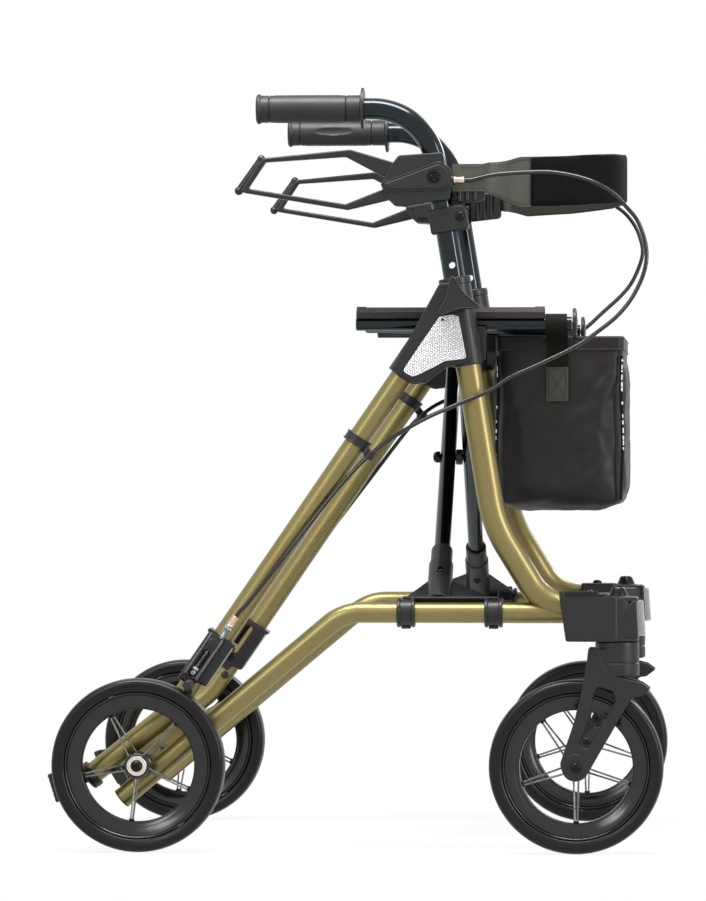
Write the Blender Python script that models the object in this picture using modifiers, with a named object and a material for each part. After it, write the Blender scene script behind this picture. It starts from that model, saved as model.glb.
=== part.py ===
"""A folding four-wheeled rollator, as named sub-parts in metres.

+X is forward, +Y is the user's left and +Z is up. The origin is on the floor in the middle.
Every side piece is made twice, with side = +1 on the left and -1 on the right.
"""
import math

import bmesh
import bpy
from mathutils import Matrix, Vector

CLEARANCE = 0.0003  # between faces that touch
SIDES = ((1, "left"), (-1, "right"))

# Wheels
WHEEL_RADIUS = 0.100
WHEEL_STEPS = 28
TYRE_WIDTH = 0.035
TYRE_DEPTH = 0.016
RIM_WIDTH = 0.027
RIM_DEPTH = 0.0195
HUB_RADIUS = 0.0146
REAR_HUB_WIDTH = 0.044
SPOKE_PAIRS = 5
SPOKE_RADIUS = 0.0018
SPOKE_SPREAD = math.radians(3.5)
REAR_SPOKE_START = math.radians(46.9)
FRONT_SPOKE_START = math.radians(54.0)
AXLE_RADIUS = 0.004
AXLE_HEAD_RADIUS = 0.006
REAR_AXLE_HEAD_LENGTH = 0.0057
FRONT_AXLE_HEAD_LENGTH = 0.0037
AXLE_NUT_RADIUS = 0.0075
AXLE_NUT_LENGTH = 0.005

# Places of the wheels and of the two side frames
REAR_HUB_X = -0.248
FRONT_HUB_X = 0.255
CASTER_TRAIL = 0.047
FRAME_Y = 0.235
WHEEL_OFFSET = 0.041

# Tubes of a side frame
THIN_TUBE_RADIUS = 0.012
LEG_RADIUS = 0.0125
POST_RADIUS = 0.015
TUBE_WALL = 0.0018
POST_LEAN = math.radians(9.27)
BOLT_X = 0.1177
BOLT_RISE = 0.5351
POST_ABOVE_BOLT = 0.0131
POST_BEND_BELOW_BOLT = 0.2619
POST_BEND_RADIUS = 0.150
POST_TOE_RISE = 0.1805
POST_TOE_BACK = 0.0840
POST_TOE_RADIUS = 0.060
POST_END_BACK = 0.017
LOWER_TUBE_RISE = 0.1746
LOWER_BEND_X = -0.0144
LOWER_BEND_RADIUS = 0.060
LOWER_END_BACK = 0.049
LEG_BEND_RADIUS = 0.080
BOSS_RADIUS = 0.011
BOSS_INNER_Y = 0.221
AXLE_PLATE_THICKNESS = 0.006

# Handle, with its travel along the post
HANDLE_RADIUS = 0.0125
HANDLE_RISE = 0.756
HANDLE_BEND_RADIUS = 0.073
HANDLE_BACK_X = -0.110
HANDLE_BELOW_BOLT = 0.1369
HEIGHT_HOLE_PITCH = 0.0406
HEIGHT_HOLE_RADIUS = 0.004
HEIGHT_HOLES = (-1, 0, 1)
GRIP_RADIUS = 0.0158
GRIP_BACK_X = -0.1154
GRIP_FRONT_X = 0.0096
GRIP_FLANGE_RADIUS = 0.0245
GRIP_FLANGE_WIDTH = 0.0035
GRIP_GROOVE_DEPTH = 0.001

# Brake at the handle
LEVER_PIVOT_X = 0.0895
LEVER_PIVOT_DROP = 0.0802
LEVER_Y = 0.2515
LEVER_BAR = 0.006
LEVER_WIDTH = 0.012
LEVER_TONGUE = 0.0054
LEVER_HUB_RADIUS = 0.0095
LEVER_PIN_RADIUS = 0.004
LEVER_SLOT_CLEARANCE = 0.0005
HOUSING_INNER_Y = 0.218
HOUSING_OUTER_Y = 0.259
FERRULE_RADIUS = 0.004
FERRULE_LENGTH = 0.013
FERRULE_DROP = 0.0031
HOUSING_FRONT = 0.0235
CABLE_RADIUS = 0.0025
CABLE_SPACING = 0.021
CABLE_STRAIGHT = 0.007
CABLE_END_GAP = 0.0005

# Castings
CASTING_INNER_Y = 0.2165
CASTING_OUTER_Y = 0.255
CRADLE_WIDTH = 0.016
CRADLE_ARM_GAP = 0.002
REFLECTOR_THICKNESS = 0.0025
KNOB_LOBES = 3
KNOB_TURN = math.radians(11)
KNOB_CORNER_RADIUS = 0.0323
KNOB_TIP_ROUNDING = 0.0028
KNOB_WAIST_RADIUS = 0.0118
KNOB_WAIST_ROUNDING = 0.030
KNOB_THICKNESS = 0.014
KNOB_STAND_OFF = 0.004
KNOB_BOSS_RADIUS = 0.011
KNOB_BOLT_RADIUS = 0.0039
BARREL_RADIUS = 0.025
BARREL_BOTTOM_RISE = 0.1436
BARREL_HEIGHT = 0.0500
BARREL_SHOULDER = 0.002
BARREL_LID_RADIUS = 0.020
BARREL_LID_HEIGHT = 0.0025
SWIVEL_BOLT_RADIUS = 0.0085
SWIVEL_BOLT_HEIGHT = 0.0118
SWIVEL_BOLT_CHAMFER = 0.0025
SWIVEL_BOLT_SIDE_HEIGHT = 0.008
SOCKET_BACK = 0.053
SOCKET_FRONT = 0.010
SOCKET_CORNER_RADIUS = 0.005
SOCKET_FLOOR_WALL = 0.004
SOCKET_ROOF_WALL = 0.002
SOCKET_INNER_WALL = 0.0035
SOCKET_OUTER_WALL = 0.004
BARREL_WEB_BACK = 0.038
BARREL_WEB_FRONT = 0.022
BARREL_WEB_INSET = 0.006
BARREL_WEB_NOSE = 0.010
BARREL_WEB_HEEL_BACK = 0.019
BARREL_WEB_HEEL = 0.015
STEM_RADIUS = 0.006
STEM_BELOW_TOP = 0.007
CROWN_RADIUS = 0.028
CROWN_TOP_RISE = 0.140
CROWN_HEIGHT = 0.034
BLADE_THICKNESS = 0.005
BLADE_GAP = 0.0015
FORK_BOSS_RADIUS = 0.0155

# Seat, scissor brace and soft goods
RAIL_RADIUS = 0.008
RAIL_Y = 0.203
RAIL_RISE = 0.5085
RAIL_BACK_X = -0.002
RAIL_FRONT_X = 0.2497
RAIL_DISC_RADIUS = 0.0178
RAIL_DISC_WIDTH = 0.004
ARM_RADIUS = 0.00925
ARM_WALL = 0.0015
REAR_ARM_X = 0.095
FRONT_ARM_X = 0.122
FOOT_LENGTH = 0.122
FOOT_RING_RADIUS = 0.01575
FOOT_RING_WIDTH = 0.021
FOOT_SOCKET_RADIUS = 0.0125
FOOT_SOCKET_REACH = 0.115
FOOT_SOCKET_FLOOR = 0.040
FOOT_WEB_REACH = 0.056
SEAT_FRONT_X = 0.2165
SEAT_ROLL_HALF_WIDTH = 0.0115
SEAT_ROLL_TOP = 0.0185
SEAT_ROLL_BOTTOM = 0.013
SEAT_THICKNESS = 0.007
SEAT_SAG = 0.013
STRAP_THICKNESS = 0.006
BAG_HALF_WIDTH = 0.158
BAG_BACK_X = 0.156
BAG_FRONT_X = 0.3098
BAG_TOP_RISE = 0.495
BAG_BOTTOM_RISE = 0.2923
BAG_STRAP_X = 0.229
BAG_STRAP_WIDTH = 0.0248
BAG_STRAP_THICKNESS = 0.0022

# Brake at the wheel, pedal and clips
SLEEVE_INNER_Y = 0.2175
SLEEVE_OUTER_Y = 0.2565
ADJUSTER_Y = 0.251
ADJUSTER_RADIUS = 0.004
SHOE_RADIUS = 0.0055
SHOE_GAP = 0.0032
SHOE_ANGLE = math.radians(58)
SHOE_END_Y = 0.292
TONGUE_WIDTH = 0.008
TONGUE_LENGTH = 0.040
TONGUE_THICKNESS = 0.003
CLIP_WIDTH = 0.010
CLIP_WALL = 0.0035
CLIP_CABLE_RADIUS = 0.0060
PEDAL_TIP_X = -0.355
PEDAL_HALF_WIDTH = 0.015
CUP_WALL = 0.0025
CUP_INNER_Y = 0.263
CUP_OUTER_Y = 0.304
CUP_HEIGHT = 0.056

# Places that follow from the sizes above
AXLE_Z = WHEEL_RADIUS
WHEEL_Y = FRAME_Y + WHEEL_OFFSET
SWIVEL_X = FRONT_HUB_X + CASTER_TRAIL
LOWER_TUBE_Z = AXLE_Z + LOWER_TUBE_RISE
BOLT_Z = AXLE_Z + BOLT_RISE
HANDLE_Z = AXLE_Z + HANDLE_RISE
RAIL_Z = AXLE_Z + RAIL_RISE
LEVER_PIVOT_Z = HANDLE_Z - LEVER_PIVOT_DROP
CROWN_TOP_Z = AXLE_Z + CROWN_TOP_RISE
BARREL_BOTTOM_Z = AXLE_Z + BARREL_BOTTOM_RISE
BARREL_TOP_Z = BARREL_BOTTOM_Z + BARREL_HEIGHT
ARM_ANGLE = math.atan2(RAIL_Z - LOWER_TUBE_Z, FRAME_Y + RAIL_Y)
PIVOT_Z = LOWER_TUBE_Z + FRAME_Y * math.tan(ARM_ANGLE)
ARM_TOP_Z = RAIL_Z - 0.001
ROUND = 1 / math.cos(math.pi / WHEEL_STEPS)

MATERIALS = {
    "champagne_paint": ((0.42, 0.37, 0.20), 0.85, 0.32),
    "black_plastic": ((0.022, 0.021, 0.022), 0.0, 0.5),
    "black_tube": ((0.012, 0.012, 0.014), 0.6, 0.25),
    "rubber": ((0.030, 0.026, 0.025), 0.0, 0.75),
    "steel": ((0.55, 0.55, 0.56), 1.0, 0.3),
    "reflector": ((0.80, 0.80, 0.78), 0.1, 0.2),
    "fabric": ((0.028, 0.023, 0.020), 0.0, 0.9),
    "webbing": ((0.10, 0.10, 0.075), 0.0, 0.85),
    "cable_jacket": ((0.015, 0.015, 0.016), 0.0, 0.35),
}


def clear_scene():
    for obj in list(bpy.data.objects):
        bpy.data.objects.remove(obj, do_unlink=True)


def new_collection(name):
    collection = bpy.data.collections.new(name)
    bpy.context.scene.collection.children.link(collection)
    return collection


def make_materials():
    for name, (color, metallic, roughness) in MATERIALS.items():
        material = bpy.data.materials.new(name)
        material.use_nodes = True
        shader = material.node_tree.nodes["Principled BSDF"]
        shader.inputs["Base Color"].default_value = (*color, 1.0)
        shader.inputs["Metallic"].default_value = metallic
        shader.inputs["Roughness"].default_value = roughness


clear_scene()
PARTS = new_collection("rollator")
CUTTERS = new_collection("cutters")
make_materials()


def helper(name, data):
    """An object that only cuts or joins others, until part() makes it a part."""
    obj = bpy.data.objects.new(name, data)
    CUTTERS.objects.link(obj)
    obj.hide_render = True
    obj.display_type = "WIRE"
    return obj


def part(obj, name, material):
    obj.name = name
    CUTTERS.objects.unlink(obj)
    PARTS.objects.link(obj)
    obj.hide_render = False
    obj.display_type = "TEXTURED"
    obj.data.materials.clear()
    obj.data.materials.append(bpy.data.materials[material])
    if isinstance(obj.data, bpy.types.Mesh):
        obj.data.shade_smooth()
        obj.data.set_sharp_from_angle(angle=math.radians(35))
    return obj


def boolean(obj, other, operation):
    modifier = obj.modifiers.new(operation.lower(), "BOOLEAN")
    modifier.operation = operation
    modifier.solver = "EXACT"
    modifier.object = other


def join(obj, *others):
    for other in others:
        boolean(obj, other, "UNION")


def cut(obj, *others):
    for other in others:
        boolean(obj, other, "DIFFERENCE")


def frame(origin, across, up):
    """A matrix whose X runs across, whose Y runs up and whose Z is square to both."""
    across = Vector(across).normalized()
    up = Vector(up).normalized()
    matrix = Matrix((across, up, across.cross(up))).transposed().to_4x4()
    matrix.translation = Vector(origin)
    return matrix


def side_plane(y):
    """The frame of an outline of (x, z) points at a distance y across."""
    return frame((0, y, 0), (1, 0, 0), (0, 0, 1))


def plan_plane(z):
    return frame((0, 0, z), (1, 0, 0), (0, 1, 0))


def cross_plane(x):
    """The frame of an outline of (y, z) points at a distance x forward."""
    return frame((x, 0, 0), (0, 1, 0), (0, 0, 1))


def mirrored(points, side):
    """Outline points whose first value is a distance from the middle."""
    return [(side * first, second) for first, second in points]


def mesh_object(name, bm, matrix=None):
    mesh = bpy.data.meshes.new(name)
    bm.to_mesh(mesh)
    bm.free()
    obj = helper(name, mesh)
    if matrix is not None:
        obj.matrix_world = matrix
    return obj


def block(low, high):
    bm = bmesh.new()
    bmesh.ops.create_cube(bm, size=1)
    low = Vector(low)
    high = Vector(high)
    for vert in bm.verts:
        for axis in range(3):
            vert.co[axis] = (low[axis] + high[axis]) / 2 + vert.co[axis] * abs(high[axis] - low[axis])
    return mesh_object("block", bm)


def rod(radius, start, end, sides=16, end_radius=None):
    """A cylinder or a cone between two points."""
    start = Vector(start)
    run = Vector(end) - start
    bm = bmesh.new()
    bmesh.ops.create_cone(
        bm,
        cap_ends=True,
        segments=sides,
        radius1=radius,
        radius2=radius if end_radius is None else end_radius,
        depth=run.length,
    )
    turn = run.to_track_quat("Z", "Y").to_matrix().to_4x4()
    return mesh_object("rod", bm, Matrix.Translation(start + run / 2) @ turn)


def clear_hole(radius, start, end, sides=16):
    """A hole whose flats stay clear of a round piece of the radius."""
    return rod((radius + CLEARANCE) / math.cos(math.pi / sides), start, end, sides)


def turned(profile, origin, axis, steps=16, closed=False, turn=0.0):
    """A profile of (radius, height) turned about an axis. It runs down its outer side."""
    bm = bmesh.new()
    verts = [bm.verts.new((radius, 0, height)) for radius, height in profile]
    pairs = list(zip(verts, verts[1:]))
    if closed:
        pairs.append((verts[-1], verts[0]))
    for pair in pairs:
        bm.edges.new(pair)
    placed = Vector(axis).to_track_quat("Z", "Y").to_matrix().to_4x4()
    placed.translation = Vector(origin)
    obj = mesh_object("turned", bm, placed @ Matrix.Rotation(turn, 4, "Z"))
    screw = obj.modifiers.new("turn", "SCREW")
    screw.axis = "Z"
    screw.steps = steps
    screw.render_steps = steps
    screw.use_merge_vertices = True
    screw.merge_threshold = 0.00001
    return obj


def rounded(corners, radii, closed=False, step=math.radians(18)):
    """The points of a path whose corners are arcs."""
    corners = [Vector(corner) for corner in corners]
    count = len(corners)
    if not hasattr(radii, "__len__"):
        radii = [radii] * count
    points = []
    for index, corner in enumerate(corners):
        radius = radii[index]
        at_end = not closed and index in (0, count - 1)
        if at_end or radius == 0:
            points.append(corner)
            continue
        back = (corners[index - 1] - corner).normalized()
        ahead = (corners[(index + 1) % count] - corner).normalized()
        half = back.angle(ahead) / 2
        centre = corner + (back + ahead).normalized() * (radius / math.sin(half))
        first = corner + back * (radius / math.tan(half)) - centre
        last = corner + ahead * (radius / math.tan(half)) - centre
        swing = math.pi - 2 * half
        parts = max(1, math.ceil(swing / step))
        for number in range(parts + 1):
            angle = swing * number / parts
            blend = first * math.sin(swing - angle) + last * math.sin(angle)
            points.append(centre + blend / math.sin(swing))
    return points


def curve_object(name, points, radius, resolution, capped=True):
    curve = bpy.data.curves.new(name, "CURVE")
    curve.dimensions = "3D"
    curve.bevel_depth = radius
    curve.bevel_resolution = resolution
    curve.use_fill_caps = capped
    spline = curve.splines.new("POLY")
    spline.points.add(len(points) - 1)
    for spot, point in zip(spline.points, points):
        spot.co = (*point, 1)
    return helper(name, curve)


def meshed(curve_part):
    """The curve as a mesh with welded caps, which can be cut and joined."""
    graph = bpy.context.evaluated_depsgraph_get()
    mesh = bpy.data.meshes.new_from_object(curve_part.evaluated_get(graph))
    bm = bmesh.new()
    bm.from_mesh(mesh)
    bmesh.ops.remove_doubles(bm, verts=bm.verts, dist=0.000001)
    bm.to_mesh(mesh)
    bm.free()
    obj = helper(curve_part.name, mesh)
    obj.matrix_world = curve_part.matrix_world
    bpy.data.objects.remove(curve_part, do_unlink=True)
    return obj


def solid_tube(points, radius, resolution=4):
    return meshed(curve_object("tube", points, radius, resolution))


def hollow_tube(points, radius, wall, resolution=4):
    obj = meshed(curve_object("tube", points, radius, resolution, capped=False))
    shell = obj.modifiers.new("wall", "SOLIDIFY")
    shell.thickness = wall
    shell.offset = -1
    shell.use_even_offset = True
    return obj


def plate(loops, thickness, matrix):
    """Flat outlines with a thickness, centred on the plane of the matrix."""
    curve = bpy.data.curves.new("plate", "CURVE")
    curve.dimensions = "2D"
    curve.fill_mode = "BOTH"
    curve.extrude = thickness / 2
    for loop in loops:
        spline = curve.splines.new("POLY")
        spline.points.add(len(loop) - 1)
        for spot, point in zip(spline.points, loop):
            spot.co = (point[0], point[1], 0, 1)
        spline.use_cyclic_u = True
    obj = helper("plate", curve)
    obj.matrix_world = matrix
    bpy.context.view_layer.update()
    return meshed(obj)


def slab(outline, side, inner_y, outer_y):
    """A plate of (x, z) points between two distances from the middle."""
    return plate([outline], outer_y - inner_y, side_plane(side * (inner_y + outer_y) / 2))


def offset_loop(points, distance):
    """A closed outline moved outwards by a distance, where it runs clockwise."""
    moved = []
    for index, point in enumerate(points):
        run = (points[(index + 1) % len(points)] - points[index - 1]).normalized()
        moved.append(point + Vector((-run.y, run.x)) * distance)
    return moved


def around(anchor, offsets):
    """Outline points given from an anchor point."""
    return [(anchor[0] + across, anchor[1] + up) for across, up in offsets]


# Directions and points in the side plane, as (x, z)
POST_UP = Vector((-math.sin(POST_LEAN), math.cos(POST_LEAN)))
BOLT = Vector((BOLT_X, BOLT_Z))
REAR_HUB = Vector((REAR_HUB_X, AXLE_Z))
LEG_TOP = BOLT + Vector((-0.0455, -0.0588))
LEG_BEND = REAR_HUB + Vector((0.0365, 0.0619))
LEG_END = REAR_HUB + Vector((-0.059, -0.0138))
LEG_UP = (LEG_TOP - LEG_BEND).normalized()
LEG_ACROSS = Vector((LEG_UP.y, -LEG_UP.x))
LOWER_END = REAR_HUB + Vector((-0.0232, -0.0409))
LOWER_BEND = Vector((LOWER_BEND_X, LOWER_TUBE_Z))
LOWER_SLOPE = (LOWER_BEND - LOWER_END).normalized()


def on_post(distance):
    """A point on the post's axis, at a distance up from the clamp bolt."""
    return BOLT + POST_UP * distance


def on_leg(distance):
    """A point on the rear leg's axis, at a distance down from its top."""
    return LEG_TOP - LEG_UP * distance


def in_space(point, side, y=FRAME_Y):
    return Vector((point[0], side * y, point[1]))


def leg_path(side):
    corners = [in_space(point, side) for point in (LEG_TOP, LEG_BEND, LEG_END)]
    return rounded(corners, LEG_BEND_RADIUS)


def lower_path(side, extra=0.0):
    start = LOWER_END - LOWER_SLOPE * extra
    end = Vector((SWIVEL_X - LOWER_END_BACK + extra, LOWER_TUBE_Z))
    corners = [in_space(point, side) for point in (start, LOWER_BEND, end)]
    return rounded(corners, LOWER_BEND_RADIUS)


def post_path(side, above=0.0, beyond=0.0):
    toe = Vector((SWIVEL_X - POST_TOE_BACK, AXLE_Z + POST_TOE_RISE))
    end = Vector((SWIVEL_X - POST_END_BACK + beyond, toe.y))
    corners = (on_post(POST_ABOVE_BOLT + above), on_post(-POST_BEND_BELOW_BOLT), toe, end)
    radii = (0, POST_BEND_RADIUS, POST_TOE_RADIUS, 0)
    return rounded([in_space(point, side) for point in corners], radii)


def handle_path(side, back=0.0):
    corner = on_post((HANDLE_Z - BOLT_Z) / POST_UP.y)
    rear = Vector((HANDLE_BACK_X + back, HANDLE_Z))
    corners = (rear, corner, on_post(-HANDLE_BELOW_BOLT))
    return rounded([in_space(point, side) for point in corners], HANDLE_BEND_RADIUS)


# Wheels

def tyre(side, name, hub):
    outer = WHEEL_RADIUS
    inner = WHEEL_RADIUS - TYRE_DEPTH + CLEARANCE
    half = TYRE_WIDTH / 2
    right = [
        (inner, 0.85 * half),
        (outer - 0.5 * TYRE_DEPTH, half),
        (outer, 0.50 * half),
    ]
    profile = right + [(radius, -height) for radius, height in reversed(right)]
    profile = [(radius * ROUND, height) for radius, height in profile]
    ring = turned(profile, hub, (0, side, 0), WHEEL_STEPS, True, math.pi / WHEEL_STEPS)
    return part(ring, f"{name}_tyre", "rubber")


def spokes(side, hub, start, hub_width):
    """Pairs of thin spokes that leave the hub apart and meet near the rim."""
    bm = bmesh.new()
    rim_inner = WHEEL_RADIUS - TYRE_DEPTH - RIM_DEPTH
    hub_reach = 0.75 * HUB_RADIUS
    for number in range(SPOKE_PAIRS):
        middle = start + number * math.tau / SPOKE_PAIRS
        for lean in (1, -1):
            near = middle + lean * 4 * SPOKE_SPREAD
            far = middle + lean * 0.6 * SPOKE_SPREAD
            inner = Vector((math.cos(near) * hub_reach, lean * 0.3 * hub_width, math.sin(near) * hub_reach))
            reach = rim_inner + 0.2 * RIM_DEPTH
            outer = Vector((math.cos(far) * reach, lean * 0.1 * RIM_WIDTH, math.sin(far) * reach))
            run = outer - inner
            turn = run.to_track_quat("Z", "Y").to_matrix().to_4x4()
            bmesh.ops.create_cone(
                bm,
                cap_ends=True,
                segments=4,
                radius1=SPOKE_RADIUS,
                radius2=SPOKE_RADIUS,
                depth=run.length,
                matrix=Matrix.Translation((inner + outer) / 2) @ turn,
            )
    return mesh_object("spokes", bm, Matrix.Translation(Vector(hub)))


def rim(side, name, hub, start, hub_width):
    outer = WHEEL_RADIUS - TYRE_DEPTH
    inner = outer - RIM_DEPTH
    half = RIM_WIDTH / 2
    lip = outer - 0.4 * RIM_DEPTH
    profile = [(outer, half), (outer, -half), (lip, -half), (inner, -0.45 * half)]
    profile += [(inner, 0.45 * half), (lip, half)]
    profile = [(radius * ROUND, height) for radius, height in profile]
    ring = turned(profile, hub, (0, side, 0), WHEEL_STEPS, True, math.pi / WHEEL_STEPS)
    hub_half = hub_width / 2
    hub_ends = (hub - Vector((0, side * hub_half, 0)), hub + Vector((0, side * hub_half, 0)))
    join(ring, spokes(side, hub, start, hub_width), rod(HUB_RADIUS, *hub_ends, 14))
    past = Vector((0, side * hub_half * 1.2, 0))
    cut(ring, clear_hole(AXLE_RADIUS, hub - past, hub + past, 12))
    return part(ring, f"{name}_rim", "black_plastic")


def axle(side, name, hub, inner_face, outer_face, head_length):
    """A bolt through the hub, with a head outboard and a nut inboard, by faces from the wheel's plane."""
    head = outer_face + CLEARANCE
    nut = inner_face + CLEARANCE
    profile = [
        (0, head + head_length),
        (AXLE_HEAD_RADIUS, head + head_length),
        (AXLE_HEAD_RADIUS, head),
        (AXLE_RADIUS, head),
        (AXLE_RADIUS, -nut),
        (AXLE_NUT_RADIUS, -nut),
        (AXLE_NUT_RADIUS, -nut - AXLE_NUT_LENGTH),
        (0, -nut - AXLE_NUT_LENGTH),
    ]
    return part(turned(profile, hub, (0, side, 0), 12), f"{name}_axle", "steel")


def rear_wheel(side, name):
    hub = in_space(REAR_HUB, side, WHEEL_Y)
    tyre(side, f"{name}_rear", hub)
    rim(side, f"{name}_rear", hub, REAR_SPOKE_START, REAR_HUB_WIDTH)
    boss_face = WHEEL_Y - BOSS_INNER_Y
    axle(side, f"{name}_rear", hub, boss_face, REAR_HUB_WIDTH / 2, REAR_AXLE_HEAD_LENGTH)


def front_wheel(side, name):
    hub = Vector((FRONT_HUB_X, side * WHEEL_Y, AXLE_Z))
    inner_blade = TYRE_WIDTH / 2 + BLADE_GAP
    outer_blade = inner_blade + BLADE_THICKNESS
    tyre(side, f"{name}_front", hub)
    rim(side, f"{name}_front", hub, FRONT_SPOKE_START, 2 * (inner_blade - CLEARANCE))
    axle(side, f"{name}_front", hub, outer_blade, outer_blade, FRONT_AXLE_HEAD_LENGTH)


def caster_fork(side, name):
    """A turned crown with its stem, over two slotted blades that hold the front axle."""
    swivel = Vector((SWIVEL_X, side * WHEEL_Y, 0))
    crown_low = CROWN_TOP_Z - CROWN_HEIGHT
    stem_top = BARREL_TOP_Z - STEM_BELOW_TOP
    collar = BARREL_BOTTOM_Z - CLEARANCE
    step = CROWN_TOP_Z - 0.4 * CROWN_HEIGHT
    profile = [
        (0, stem_top),
        (STEM_RADIUS, stem_top),
        (STEM_RADIUS, collar),
        (2 * STEM_RADIUS, collar),
        (2 * STEM_RADIUS, CROWN_TOP_Z),
        (0.88 * CROWN_RADIUS, CROWN_TOP_Z),
        (0.88 * CROWN_RADIUS, step),
        (CROWN_RADIUS, step - 0.003),
        (CROWN_RADIUS, crown_low),
        (0, crown_low),
    ]
    fork = turned(profile, swivel, (0, 0, 1), 16)
    top = CROWN_TOP_Z - 0.0015
    outline = [
        (SWIVEL_X - 0.026, top),
        (SWIVEL_X + 0.0255, top),
        (SWIVEL_X + 0.0255, crown_low - 0.008),
        (FRONT_HUB_X + 0.013, AXLE_Z - 0.003),
        (FRONT_HUB_X - 0.0145, AXLE_Z + 0.003),
        (SWIVEL_X - 0.028, crown_low - 0.014),
    ]
    slot = [
        (SWIVEL_X - 0.015, crown_low - 0.012),
        (SWIVEL_X + 0.007, crown_low - 0.012),
        (FRONT_HUB_X + 0.009, AXLE_Z + 0.027),
        (FRONT_HUB_X + 0.001, AXLE_Z + 0.030),
    ]
    inner_blade = TYRE_WIDTH / 2 + BLADE_GAP
    hub = Vector((FRONT_HUB_X, side * WHEEL_Y, AXLE_Z))
    for outward in (1, -1):
        middle = WHEEL_Y + outward * (inner_blade + BLADE_THICKNESS / 2)
        blade = plate([outline, slot], BLADE_THICKNESS, side_plane(side * middle))
        near = hub + Vector((0, outward * inner_blade, 0))
        far = hub + Vector((0, outward * (inner_blade + BLADE_THICKNESS), 0))
        join(fork, blade, rod(FORK_BOSS_RADIUS, near, far, 16))
    past = Vector((0, 2 * inner_blade, 0))
    cut(fork, clear_hole(AXLE_RADIUS, hub - past, hub + past, 12))
    return part(fork, f"{name}_caster_fork", "black_plastic")


# Side frames

def rear_leg(side, name):
    tube = hollow_tube(leg_path(side), LEG_RADIUS, TUBE_WALL)
    return part(tube, f"{name}_rear_leg", "champagne_paint")


def lower_tube(side, name):
    """The lower side tube with its welded axle plate and boss, coped to the leg and the post."""
    tube = solid_tube(lower_path(side), THIN_TUBE_RADIUS)
    near = LOWER_END + LOWER_SLOPE * 0.006
    far = LOWER_END + LOWER_SLOPE * 0.094
    away = Vector((-LOWER_SLOPE.y, LOWER_SLOPE.x))
    plate_outline = [near, far, far + away * 0.030, near + away * 0.042]
    half = AXLE_PLATE_THICKNESS / 2
    web = slab(plate_outline, side, FRAME_Y - half, FRAME_Y + half)
    inner = in_space(REAR_HUB, side, BOSS_INNER_Y)
    outer = in_space(REAR_HUB, side, WHEEL_Y - REAR_HUB_WIDTH / 2 - CLEARANCE)
    join(tube, web, rod(BOSS_RADIUS, inner, outer))
    past = Vector((0, side * 0.01, 0))
    cut(tube, solid_tube(lower_path(side, 0.01), THIN_TUBE_RADIUS - TUBE_WALL))
    cut(tube, solid_tube(leg_path(side), LEG_RADIUS + CLEARANCE))
    cut(tube, solid_tube(post_path(side), POST_RADIUS + CLEARANCE))
    cut(tube, clear_hole(AXLE_RADIUS, inner - past, outer + past, 12))
    return part(tube, f"{name}_lower_tube", "champagne_paint")


def front_tube(side, name):
    tube = hollow_tube(post_path(side), POST_RADIUS, TUBE_WALL)
    return part(tube, f"{name}_front_tube", "champagne_paint")


TOP_CASTING_OUTLINE = (
    (-0.0211, 0.0177),
    (0.0127, 0.0255),
    (0.0208, -0.0103),
    (0.0274, -0.0710),
    (-0.0145, -0.0774),
    (-0.0367, -0.0965),
    (-0.0515, -0.0973),
    (-0.0787, -0.0784),
)
REFLECTOR_OUTLINE = (
    (-0.0053, -0.0170),
    (0.0016, -0.0188),
    (0.0108, -0.0678),
    (-0.0145, -0.0710),
    (-0.0422, -0.0855),
    (-0.0516, -0.0889),
    (-0.0629, -0.0824),
    (-0.0203, -0.0199),
)


def rail_cradle(side):
    """A hook on the casting's inner face, which the seat rail drops into."""
    inner = RAIL_Y - RAIL_RADIUS - 0.005
    top = RAIL_Z - 0.5 * RAIL_RADIUS
    outer = CASTING_INNER_Y + 0.003
    outline = [
        (outer, top),
        (inner, top),
        (inner, top - 0.022),
        (inner + 0.014, top - 0.038),
        (outer, top - 0.038),
    ]
    back = FRONT_ARM_X + ARM_RADIUS + CRADLE_ARM_GAP
    hook = plate([mirrored(outline, side)], CRADLE_WIDTH, cross_plane(back + CRADLE_WIDTH / 2))
    start = Vector((BOLT_X - 0.02, side * RAIL_Y, RAIL_Z))
    end = Vector((BOLT_X + 0.05, side * RAIL_Y, RAIL_Z))
    cut(hook, clear_hole(RAIL_RADIUS, start, end))
    return hook


def top_casting(side, name):
    casting = slab(around(BOLT, TOP_CASTING_OUTLINE), side, CASTING_INNER_Y, CASTING_OUTER_Y)
    join(casting, rail_cradle(side))
    cut(casting, solid_tube(post_path(side, 0.04), POST_RADIUS + CLEARANCE))
    leg_top = [in_space(on_leg(-CLEARANCE), side), in_space(on_leg(0.08), side)]
    cut(casting, solid_tube(leg_top, LEG_RADIUS + CLEARANCE))
    outside = in_space(BOLT, side, CASTING_OUTER_Y + 0.01)
    cut(casting, clear_hole(KNOB_BOLT_RADIUS, in_space(BOLT, side), outside, 12))
    return part(casting, f"{name}_top_casting", "black_plastic")


def side_reflector(side, name):
    inner = CASTING_OUTER_Y + CLEARANCE
    lens = slab(around(BOLT, REFLECTOR_OUTLINE), side, inner, inner + REFLECTOR_THICKNESS)
    return part(lens, f"{name}_side_reflector", "reflector")


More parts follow.
